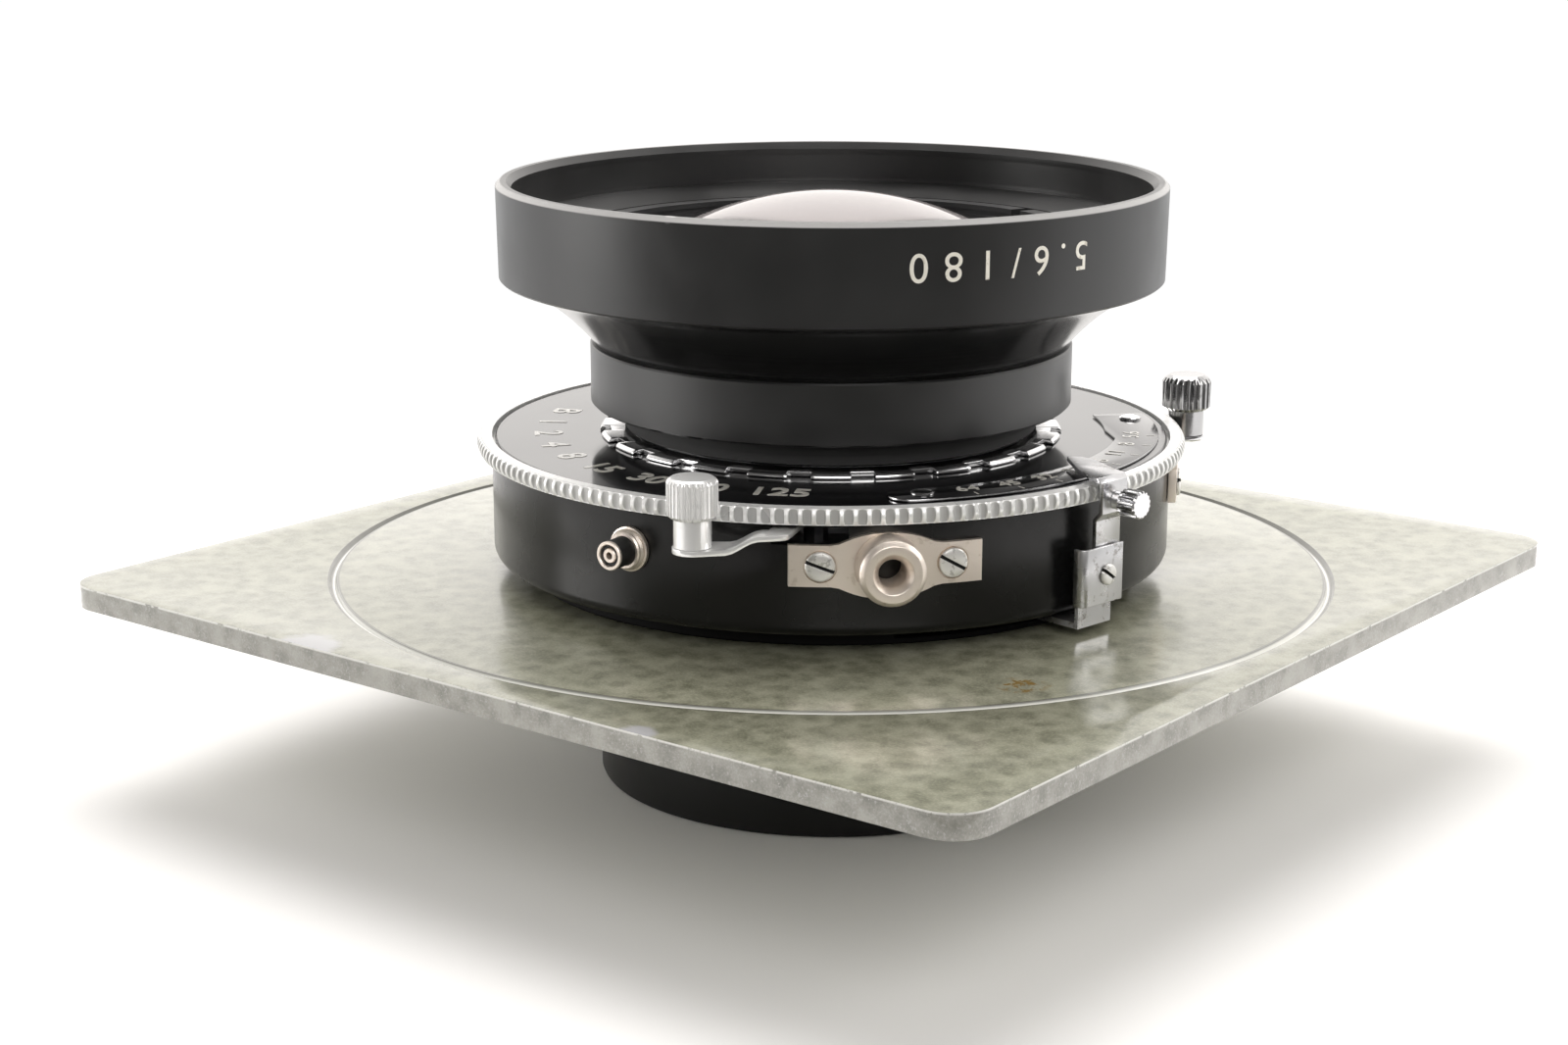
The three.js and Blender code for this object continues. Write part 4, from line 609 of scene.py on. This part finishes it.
# Speed ring: turned brass with a straight knurl of 180 teeth, satin chromed. It turns round the
# dial on its own flange.
def flute(piece, count, per, cuts):
    """Rolls flutes into a turned rim: columns of vertices, by their offset from a flute's middle, are
    drawn in to a radius in millimetres."""
    pick(piece)
    bpy.ops.object.mode_set(mode="EDIT")
    bpy.ops.mesh.select_all(action="DESELECT")
    bpy.ops.object.mode_set(mode="OBJECT")
    columns = [round(math.atan2(v.co.y, v.co.x) / math.tau * count * per) % per for v in piece.data.vertices]
    for offset, limit in cuts:
        beyond = (limit + 0.004) * MM
        reaches = {round(v.co.xy.length / MM, 3) for v in piece.data.vertices if v.co.xy.length > beyond}
        for reach in sorted(reaches):
            for column, vertex in zip(columns, piece.data.vertices):
                at_reach = abs(vertex.co.xy.length - reach * MM) < 0.001 * MM
                vertex.select = min(column, per - column) == offset and at_reach
            bpy.ops.object.mode_set(mode="EDIT")
            bpy.ops.transform.resize(value=(limit / reach, limit / reach, 1), center_override=(0, 0, 0))
            bpy.ops.object.mode_set(mode="OBJECT")
    return piece


KNURL_RADIUS, KNURL_MIDDLE, KNURL_HALF, KNURL_BULGE = 37.5, 36.59, 0.81, 0.31
rim_line = [(KNURL_RADIUS - KNURL_BULGE * ((z - KNURL_MIDDLE) / KNURL_HALF) ** 2, z)
            for z in (35.78, 35.95, 36.15, 36.37, 36.59, 36.81, 37.03, 37.23, 37.4)]
knurl = turned("knurled_ring", [(33.6, 35.78), *rim_line, (35.95, 37.4), (35.9, 37.35), (35.9, 36.4),
                                (33.6, 36.4)], 1440)
flute(knurl, 180, 8, ((0, 37.15), (1, 37.16), (2, 37.19)))
rim_chrome_flute_shade, tree, shader, place = lathe_finish("rim chrome with painted flute shade", (0.84, 0.84, 0.84), 0.3, 0.32, depth=0.000003)
# Painted shade: the floors of the flutes are grey, the lands and the flat top bright.
reach = axis_reach(tree, place)
rise = ramp(tree, height_of(tree, place), 0.03659, 0.0374, clamp=False)
level = reckon(tree, "MULTIPLY_ADD", reckon(tree, "MULTIPLY", rise, rise), 0.00031, reach)
land = ramp(tree, level, 0.03738, 0.03746)
flat_top = reckon(tree, "SUBTRACT", 1.0, ramp(tree, reach, 0.0370, 0.03705))
unshaded_lands = reckon(tree, "MAXIMUM", land, flat_top)
tree.links.new(mix(tree, unshaded_lands, (0.52, 0.52, 0.51), (1, 1, 0.99)), shader.inputs["Base Color"])
fit(soften(knurl, smooth=20), rim_chrome_flute_shade, "speed_dial", "chrome", "speed_ring")


# Dial: a black enamelled plate with a bevelled rim, and shutter speeds filled in ivory. A thin
# chromed ring with 24 spanner notches holds it down.
def join(pieces, name):
    """Like pieces made one, under one name."""
    bpy.ops.object.select_all(action="DESELECT")
    for piece in pieces:
        piece.select_set(True)
    bpy.context.view_layer.objects.active = pieces[0]
    bpy.ops.object.join()
    pieces[0].name = pieces[0].data.name = name
    return pieces[0]


SIZE_PER_CAP = 1.4


def lettering(name, marks, height, thickness, weight=0.0):
    """Numerals cut as thin solids, one text per mark, each with its own place, and joined."""
    made = []
    for text, spot in marks:
        bpy.ops.object.select_all(action="DESELECT")
        bpy.ops.object.text_add()
        letter = bpy.context.object
        letter.data.body = text
        letter.data.align_x, letter.data.align_y = "CENTER", "CENTER"
        letter.data.size, letter.data.extrude = height * MM * SIZE_PER_CAP, thickness / 2 * MM
        letter.data.offset = weight * MM
        letter.data.resolution_u = 6
        bpy.ops.object.convert(target="MESH")
        letter = bpy.context.object
        letter.matrix_world = spot
        made.append(settle(letter))
    return join(made, name)


def on_dial(angle, radius, z):
    """A place on the dial, upright when read from outside."""
    out = Matrix.Translation(Vector((radius, 0, z)) * MM)
    return Matrix.Rotation(math.radians(angle), 4, "Z") @ out @ Matrix.Rotation(math.radians(90), 4, "Z")


FACE, SPEED_RADIUS = 37.2, 30.1
dial = turned("dial", [(21.4, 36.7), (35.6, 36.7), (35.6, 37.0), (35.4, FACE), (21.4, FACE)], 288)
enamel, tree, shader, place = finish("dial enamel", (0.008, 0.008, 0.009), 0.0, 0.11, Coat_Weight=0.4,
                                     Coat_Roughness=0.05)
worn(tree, shader, place, 1700.0, 0.26, (0.07, 0.07, 0.07))
uneven_gloss(tree, shader, place, 75.0, 0.07, 0.18)
fit(soften(dial), enamel, "lens", "gloss_black", "face_plate")

dial_fill, tree, shader, place = finish("dial fill", (0.70, 0.68, 0.62), 0.0, 0.4, Coat_Weight=1.0,
                                        Coat_Roughness=0.06)
worn(tree, shader, place, 1400.0, 0.42, (0.52, 0.50, 0.45))
speeds = [("B", -158), ("1", -147), ("2", -136), ("4", -125), ("8", -114), ("15", -102), ("30", -89),
          ("60", -76), ("125", -62)]
speed_marks = [(text, on_dial(angle, SPEED_RADIUS, FACE + 0.02)) for text, angle in speeds]
fit(lettering("speed_numerals", speed_marks, 3.0, 0.05, 0.06), dial_fill, "lens", None)

NOTCHES = 24
bright_metal = lathe_finish("bright chrome", (0.80, 0.80, 0.81), 1.0, 0.17, spread=0.08)[0]
castle = turned("castle_ring", [(21.4, 37.26), (24.5, 37.26), (24.5, 37.42), (24.42, 37.56), (24.2, 37.76),
                                (21.4, 37.76)])
notches = [at_station(block((24.9, 0, 37.5), (3, 2.4, 2)), 360 / NOTCHES * i) for i in range(NOTCHES)]
combine(castle, join(notches, "notches"))
fit(soften(castle, 0.05, corner=50), bright_metal, "lens", "chrome", "slotted_ring")


# Aperture scale: a thin curved plate in black enamel with bare bright edges, round at one end and
# wider under its rivet at the other. It carries the stop numbers and a tick for each.
SCALE_LOW, SCALE_TOP, SCALE_RADIUS, SCALE_END = 37.26, 37.5, 32.5, -39.1
end_x, end_y = arc(SCALE_RADIUS, SCALE_END, SCALE_END, 1)[0]
scale = plate("stop_scale", arc(2.2, SCALE_END - 180, SCALE_END, 12, end_x, end_y)
              + arc(34.7, SCALE_END, 49.3, 44)[1:] + arc(29.1, 49.3, 34.3, 8)
              + arc(30.3, 26.3, SCALE_END, 33)[:-1], SCALE_LOW, SCALE_TOP)
soften(scale, 0.06, corner=50)
fit(scale, enamel, "lens", "gloss_black", "aperture_scale")
scale.data.materials.append(bright_metal)
for face in scale.data.polygons:
    face.material_index = int(face.normal.z < 0.9 and face.center.xy.length > 32.6 * MM)
for i, angle in enumerate((-37, 44.1)):
    rivet = turned(f"stop_scale_rivet_{i + 1}", [(0, 37.56), (1.15, 37.56), (1.15, 37.68), (1.0, 37.78),
                                                 (0.85, 37.72), (0.5, 37.74), (0, 37.76)], 48)
    at_station(rivet, angle, SCALE_RADIUS)
    fit(soften(rivet, smooth=25), bright_metal, "lens", "chrome", f"scale_rivet_{i + 1}")
stops = [("5.6", 29.5), ("8", 21.3), ("11", 13.1), ("16", 4.9), ("22", -3.3), ("32", -11.5), ("45", -19.7),
         ("64", -28.3)]
stop_marks = [(text, on_dial(angle, 31.9, 37.52)) for text, angle in stops]
fit(lettering("stop_numerals", stop_marks, 1.75, 0.05), dial_fill, "lens", None)
ticks = [at_station(block((33.9, 0, 37.51), (0.9, 0.14, 0.04)), angle) for text, angle in stops]
fit(soften(join(ticks, "stop_ticks")), dial_fill, "lens", None)


# Aperture lever: a steel strip screwed to the iris ring's tab, bent out round the speed ring and
# in over the dial to a slanted pointer. A sleeve clasps both, and a fluted grip stands out.
LEVER = -8
strip = plate("pointer_strip", [
    (37.66, 27.0), (37.66, 34.2), (38.41, 35.0), (38.41, 37.95), (37.96, 38.0), (28.0, 38.0), (28.0, 38.45),
    (38.41, 38.45), (38.86, 38.0), (38.86, 34.85), (38.11, 34.05), (38.11, 27.0)], -4.4, 4.4)
strip.matrix_world = Matrix(((1, 0, 0, 0), (0, 0, 1, 0), (0, 1, 0, 0), (0, 0, 0, 1)))
settle(strip)
bpy.ops.object.mode_set(mode="EDIT")
bpy.ops.mesh.select_all(action="SELECT")
bpy.ops.mesh.normals_make_consistent(inside=False)
bpy.ops.object.mode_set(mode="OBJECT")
upright = plate("upright", [(37, -1.4), (40, -1.4), (40, 2.2), (37, 2.2)], 26, 38.2)
tip_plan = [(40, -1.79), (40, 2.18), (38.86, 2.18), (36.8, 2.72), (31.75, 4.86), (29.96, 3.57),
            (34.63, -0.19), (38.28, -1.79)]
combine(upright, plate("tip", tip_plan, 37.9, 39), "UNION")
combine(strip, upright, "INTERSECT")
at_station(soften(strip, 0.09, corner=35), LEVER)
worn_steel, tree, shader, place = finish("worn steel", (0.60, 0.60, 0.61), 1.0, 0.30)
brushed(tree, shader, place, (1200.0, 1200.0, 150.0), 4.0, 0.00002)
worn(tree, shader, place, 600.0, 0.43, (0.36, 0.35, 0.34))
uneven_gloss(tree, shader, place, 400.0, 0.2, 0.42)
carry(worn_steel, "iris_ring")
fit(strip, worn_steel, "aperture", "steel", "pointer_arm")
sleeve = plate("clasp", [(37.2, -3.61), *arc(0.8, -90, 0, 8, 37.72, -2.81), (38.52, 2.35), (38.17, 2.35),
                         *arc(0.45, 0, -90, 6, 37.72, -2.81), (37.2, -3.26)], 25.7, 31.5)
at_station(soften(sleeve, 0.1, corner=50, segments=3), LEVER)
fit(sleeve, worn_steel, "aperture", "steel", "lever_sleeve")
clasp_screw = slotted_screw("clasp_screw", LEVER, 38.58, 28.6, 1.05, 0.4, 55)
fit(clasp_screw, None, "aperture", "chrome", "lever_screw")
grip = turned("grip", [(0, 38.92), (0.9, 38.92), (0.9, 39.9), (1.22, 39.9), (1.38, 40.02), (1.38, 41.92),
                       (1.24, 42.04), (0, 42.04)], 96)
flute(grip, 16, 6, ((0, 1.14), (1, 1.18)))
at_station(grip, LEVER, 0, 0.6, 36.0, outwards=True)
fit(soften(grip, smooth=25), bright_metal, "aperture", "chrome", "pointer_grip")


# Thumb levers for release and focus: a flat chromed arm on a post inside the case, out through a
# slot and down a gooseneck, with a fluted knob riveted on its end.
ARM_LOW, ARM_HIGH, ARM_DROP = 34.68, 35.18, 1.15
POST_X, POST_Y, KNOB_Y, RELEASE_KNOB_X, FOCUS_KNOB_X = 25.35, 1.5, -8.37, 39.73, 40.53
NECK_START, NECK_LENGTH = -2.2, 3.0


def rounded_bar(name, ends):
    """A bar with round ends: two discs wrapped in one hull."""
    (x, y, radius), (end_x, end_y, end_radius) = ends
    middle, depth = (ARM_LOW + ARM_HIGH) / 2 * MM, (ARM_HIGH - ARM_LOW) * MM
    bpy.ops.object.select_all(action="DESELECT")
    bpy.ops.mesh.primitive_cylinder_add(vertices=40, radius=radius * MM, depth=depth, location=(0, 0, 0))
    made = bpy.context.object
    made.name = made.data.name = name
    bpy.ops.object.mode_set(mode="EDIT")
    bpy.ops.transform.translate(value=(x * MM, y * MM, middle))
    bpy.ops.mesh.primitive_cylinder_add(vertices=40, radius=end_radius * MM, depth=depth,
                                        location=(end_x * MM, end_y * MM, middle))
    bpy.ops.mesh.select_all(action="SELECT")
    bpy.ops.mesh.convex_hull()
    bpy.ops.object.mode_set(mode="OBJECT")
    return made


def thumb_lever(name, angle, knob_x, hub, linked):
    """The arm in its station, bent down where it leaves the case."""
    inner_bend, outer_bend = (34.3, 0, 1.15), (37.9, -0.58, 1.15)
    arm = rounded_bar(name, ((POST_X, POST_Y, 2.2), inner_bend))
    combine(arm, rounded_bar("through", (inner_bend, outer_bend)), "UNION")
    combine(arm, rounded_bar("outer", (outer_bend, (knob_x, KNOB_Y, hub))), "UNION")
    combine(arm, peg((POST_X, POST_Y, 35), 1.5, 4, 32))
    if linked:
        eye = [(31.0, -0.75), (32.7, -0.75), (33.0, 0.3), (32.7, 0.75), (31.0, 0.75), (30.8, 0)]
        combine(arm, plate("link", eye, 34, 36))
    pick(arm)
    bpy.ops.object.mode_set(mode="EDIT")
    for y in (-2.2, -2.8, -3.4, -4.0, -4.6, -5.2):
        bpy.ops.mesh.select_all(action="SELECT")
        bpy.ops.mesh.bisect(plane_co=(0, y * MM, 0), plane_no=(0, 1, 0))
    bpy.ops.object.mode_set(mode="OBJECT")
    for vertex in arm.data.vertices:
        share = min(max((NECK_START - vertex.co.y / MM) / NECK_LENGTH, 0), 1)
        vertex.co.z -= ARM_DROP * MM * share * share * (3 - 2 * share)
    return at_station(soften(arm, 0.1, corner=50), angle)


def thumb_knob(name, angle, knob_x, radius, stem, count, cut):
    """A fluted cap on a plain stem, turned as one."""
    foot, top = 36.84, 40.74
    knob = turned(name, [(0, 34.1), (stem, 34.1), (stem, foot), (radius - 0.45, foot), (radius, 37.2),
                         (radius, top - cut), (radius - 0.4 * cut, top - 0.4 * cut), (radius - cut, top),
                         (0, top)], 6 * count)
    flute(knob, count, 6, ((0, radius - 0.17), (1, radius - 0.1)))
    return at_station(soften(knob, smooth=25), angle, knob_x, KNOB_Y)


chrome, tree, shader, place = lathe_finish("satin chrome", (0.97, 0.97, 0.965), 0.5, 0.20, depth=0.000004)
worn(tree, shader, place, 480.0, 0.40, (0.84, 0.84, 0.835))
release_arm = thumb_lever("release_arm", RELEASE, RELEASE_KNOB_X, 1.95, False)
fit(release_arm, chrome, "release", "chrome", "release_lever")
release_grip = thumb_knob("release_grip", RELEASE, RELEASE_KNOB_X, 2.45, 1.8, 33, 0.45)
fit(release_grip, chrome, "release", "chrome", "release_knob")
focus_arm = thumb_lever("focus_arm", FOCUS, FOCUS_KNOB_X, 2.15, True)
fit(focus_arm, bright_metal, "press_focus", "chrome", "focus_lever")
# Painted shade: the focus knob takes a darker copy of the satin chrome.
shaded_chrome, tree, shader, place = lathe_finish("chrome darkened as painted shade", (0.50, 0.50, 0.505), 1.0, 0.20, depth=0.000003)
worn(tree, shader, place, 480.0, 0.40, (0.36, 0.36, 0.36))
focus_grip = thumb_knob("focus_grip", FOCUS, FOCUS_KNOB_X, 2.67, 2.0, 22, 0.75)
fit(focus_grip, shaded_chrome, "press_focus", "chrome", "focus_knob")


# Front cell: one turned barrel of black anodised aluminium, a ring with the filter thread over a
# flared underside and a neck. The deep front element sits in it under a stepped retaining ring.
def bend(first, middle, last, steps):
    """Points along a smooth bend between two places."""
    shares = [i / steps for i in range(steps + 1)]
    return [tuple(a * (1 - t) ** 2 + 2 * b * t * (1 - t) + c * t * t for a, b, c in zip(first, middle, last))
            for t in shares]


def dome(edge, edge_z, apex_z, steps):
    """A spherical face's profile from its edge to the axis."""
    sag = apex_z - edge_z
    radius = (edge ** 2 + sag ** 2) / (2 * sag)
    rows = [edge * (1 - i / steps) for i in range(steps + 1)]
    return [(row, apex_z - radius + math.copysign(math.sqrt(radius ** 2 - row ** 2), radius)) for row in rows]


thread = [(33.35 + (0.035 if i % 2 else 0), 59.6 + 0.25 * i) for i in range(13)]
barrel = turned("front_cell", [
    (34.55, 63.88), (35.0, 63.43), (34.82, 54.0), (34.6, 53.79),
    *bend((34.1, 53.79), (29.51, 52.57), (24.92, 47.02), 16), (25.3, 46.95), (25.42, 46.77), (25.42, 40.81),
    (25.17, 40.56), (22.6, 40.56), (22.6, 39.31), (21.8, 39.31), (21.8, 38.06), (19.71, 38.06),
    (19.71, 32.96), (15.8, 32.96), (15.8, 34.96), (16.8, 34.96), (16.8, 40.56), (22.5, 49.17), (25.3, 49.17),
    (25.3, 54.67), (28.2, 54.67), (28.2, 58.37), (28.7, 58.42), (32.5, 59.25), (32.65, 59.3), (33.35, 59.3),
    *thread, (33.35, 63.15), (33.89, 63.88)], 288)
barrel_black, tree, shader, place = lathe_finish(
    "barrel anodising", (0.009, 0.009, 0.009), 0.0, 0.33, scale=2600.0, depth=0.000004, spread=0.04,
    Specular_IOR_Level=0.8)
gloss = shader.inputs["Roughness"].links[0].from_socket
height = height_of(tree, place)
in_cove = reckon(tree, "MULTIPLY", ramp(tree, height, 0.0537, 0.0535), ramp(tree, height, 0.0470, 0.0472))
neck_foot = ramp(tree, height, 0.0407, 0.0405)
for mask, roughness in ((in_cove, 0.17), (neck_foot, 0.75)):
    gloss = node(tree, "Mix", {0: mask, 2: gloss, 3: roughness}, data_type="FLOAT").outputs[0]
tree.links.new(gloss, shader.inputs["Roughness"])
# Bare metal and painted reflection: a pale chamfer round the ring's top and a pale spot on the near rim.
brim = reckon(tree, "MULTIPLY", ramp(tree, height, 0.06341, 0.06352),
              ramp(tree, axis_reach(tree, place), 0.0344, 0.0346))
bare_and_sheen = reckon(tree, "MAXIMUM", brim, near(tree, place, (6.7, -33.6, 63.5), 0.5, 0.3))
tree.links.new(mix(tree, bare_and_sheen, (0.009, 0.009, 0.009), (0.36, 0.355, 0.35)), shader.inputs["Base Color"])
fit(soften(barrel, smooth=28), barrel_black, "lens", "black_anodised", "front_barrel")

glass, tree, shader, place = finish("coated glass", (0.42, 0.39, 0.39), 0.0, 0.02, Transmission_Weight=1.0,
                                    IOR=1.56, Specular_Tint=(0.80, 0.73, 0.71, 1))
uneven_gloss(tree, shader, place, 60.0, 0.01, 0.05, start=0.35)
front = turned("front_element", [*reversed(dome(24.3, 52.96, 62.40, 24)), (25, 52.61), (25, 49.23),
                                 (22.5, 49.23), *dome(22.5, 49.23, 53.23, 16)[1:]])
fit(soften(front), glass, "lens", "glass", "front_glass")
carry(glass, "front_inner_glass", "rear_inner_glass")
ridges = [(26.05 - 0.35 * (i // 2 % 2), 56.2 + 0.55 * ((i + 1) // 2)) for i in range(8)]
holder = turned("front_holder", [
    (24.65, 53.97), (25, 53.97), (25, 54.73), (27.9, 54.73), (27.9, 58.25), (27.78, 58.37),
    *reversed(ridges), (25.6, 56.0), (25.35, 54.67), (24.65, 54.67)])
combine(holder, block((0, 0, 58.6), (70, 1.4, 2.8), 75.2))
fit(soften(holder, smooth=28), black_metal, "lens", "black_anodised", "front_retainer")


# Engraving on the front ring: the focal length and the widest stop, filled in ivory. The letters
# stand on their heads, as they do on the real ring when it looks up.
def on_ring(angle, radius, z):
    """A place on the ring's wall, upside down when seen from outside."""
    turn = Matrix(((0, 0, 1, 0), (-1, 0, 0, 0), (0, -1, 0, 0), (0, 0, 0, 1)))
    out = Matrix.Translation(Vector((radius, 0, z)) * MM)
    return Matrix.Rotation(math.radians(angle), 4, "Z") @ out @ turn


ivory, tree, shader, place = finish("ivory fill", (0.86, 0.83, 0.74), 0.0, 0.4, Coat_Weight=1.0,
                                    Coat_Roughness=0.08)
worn(tree, shader, place, 1400.0, 0.42, (0.62, 0.58, 0.49))
RING_WALL, RING_MIDDLE = 34.915, 59.75
ring_text = zip("5.6/180", (-9.7, -13.7, -18.1, -22.9, -28.0, -33.7, -39.3))
ring_marks = [(letter, on_ring(angle, RING_WALL, RING_MIDDLE)) for letter, angle in ring_text]
fit(lettering("ring_numerals", ring_marks, 2.85, 0.08), ivory, "lens", None)


# Rear cell: a turned drum of black anodised aluminium with a recessed rim, which the lens stands
# on, and its rear element under a plain ring.
rear = turned("rear_cell", [
    (23.1, 0), (24.3, 0), (24.65, 0.15), (24.8, 0.5), (24.8, 14.0), (24.65, 14.35), (24.3, 14.5),
    (20.2, 14.5), (20.2, 16.7), (17.8, 16.7), (17.8, 23.3), (15.8, 23.3), (15.8, 15.2), (14.9, 15.2),
    (19.5, 8.17), (20.8, 8.17), (20.8, 4.7), (22.6, 4.7), (22.6, 0.5)])
rear_black = lathe_finish("rear anodising", (0.007, 0.007, 0.007), 0.0, 0.38, depth=0.000004, spread=0.05,
                          Specular_IOR_Level=0.35)[0]
fit(soften(rear, smooth=28), rear_black, "lens", "black_anodised", "rear_barrel")
back = turned("rear_element", [*reversed(dome(20.0, 5.01, 1.61, 20)), (20.5, 5.51), (20.5, 8.11),
                               (19.0, 8.11), *dome(19.0, 8.11, 5.61, 14)[1:]])
fit(soften(back), glass, "lens", "glass", "rear_glass")
keeper = turned("rear_holder", [(20.75, 1.55), (22.2, 1.55), (22.3, 1.65), (22.3, 4.64), (20.25, 4.64)])
fit(soften(keeper, smooth=28), black_metal, "lens", "black_anodised", "rear_retainer")
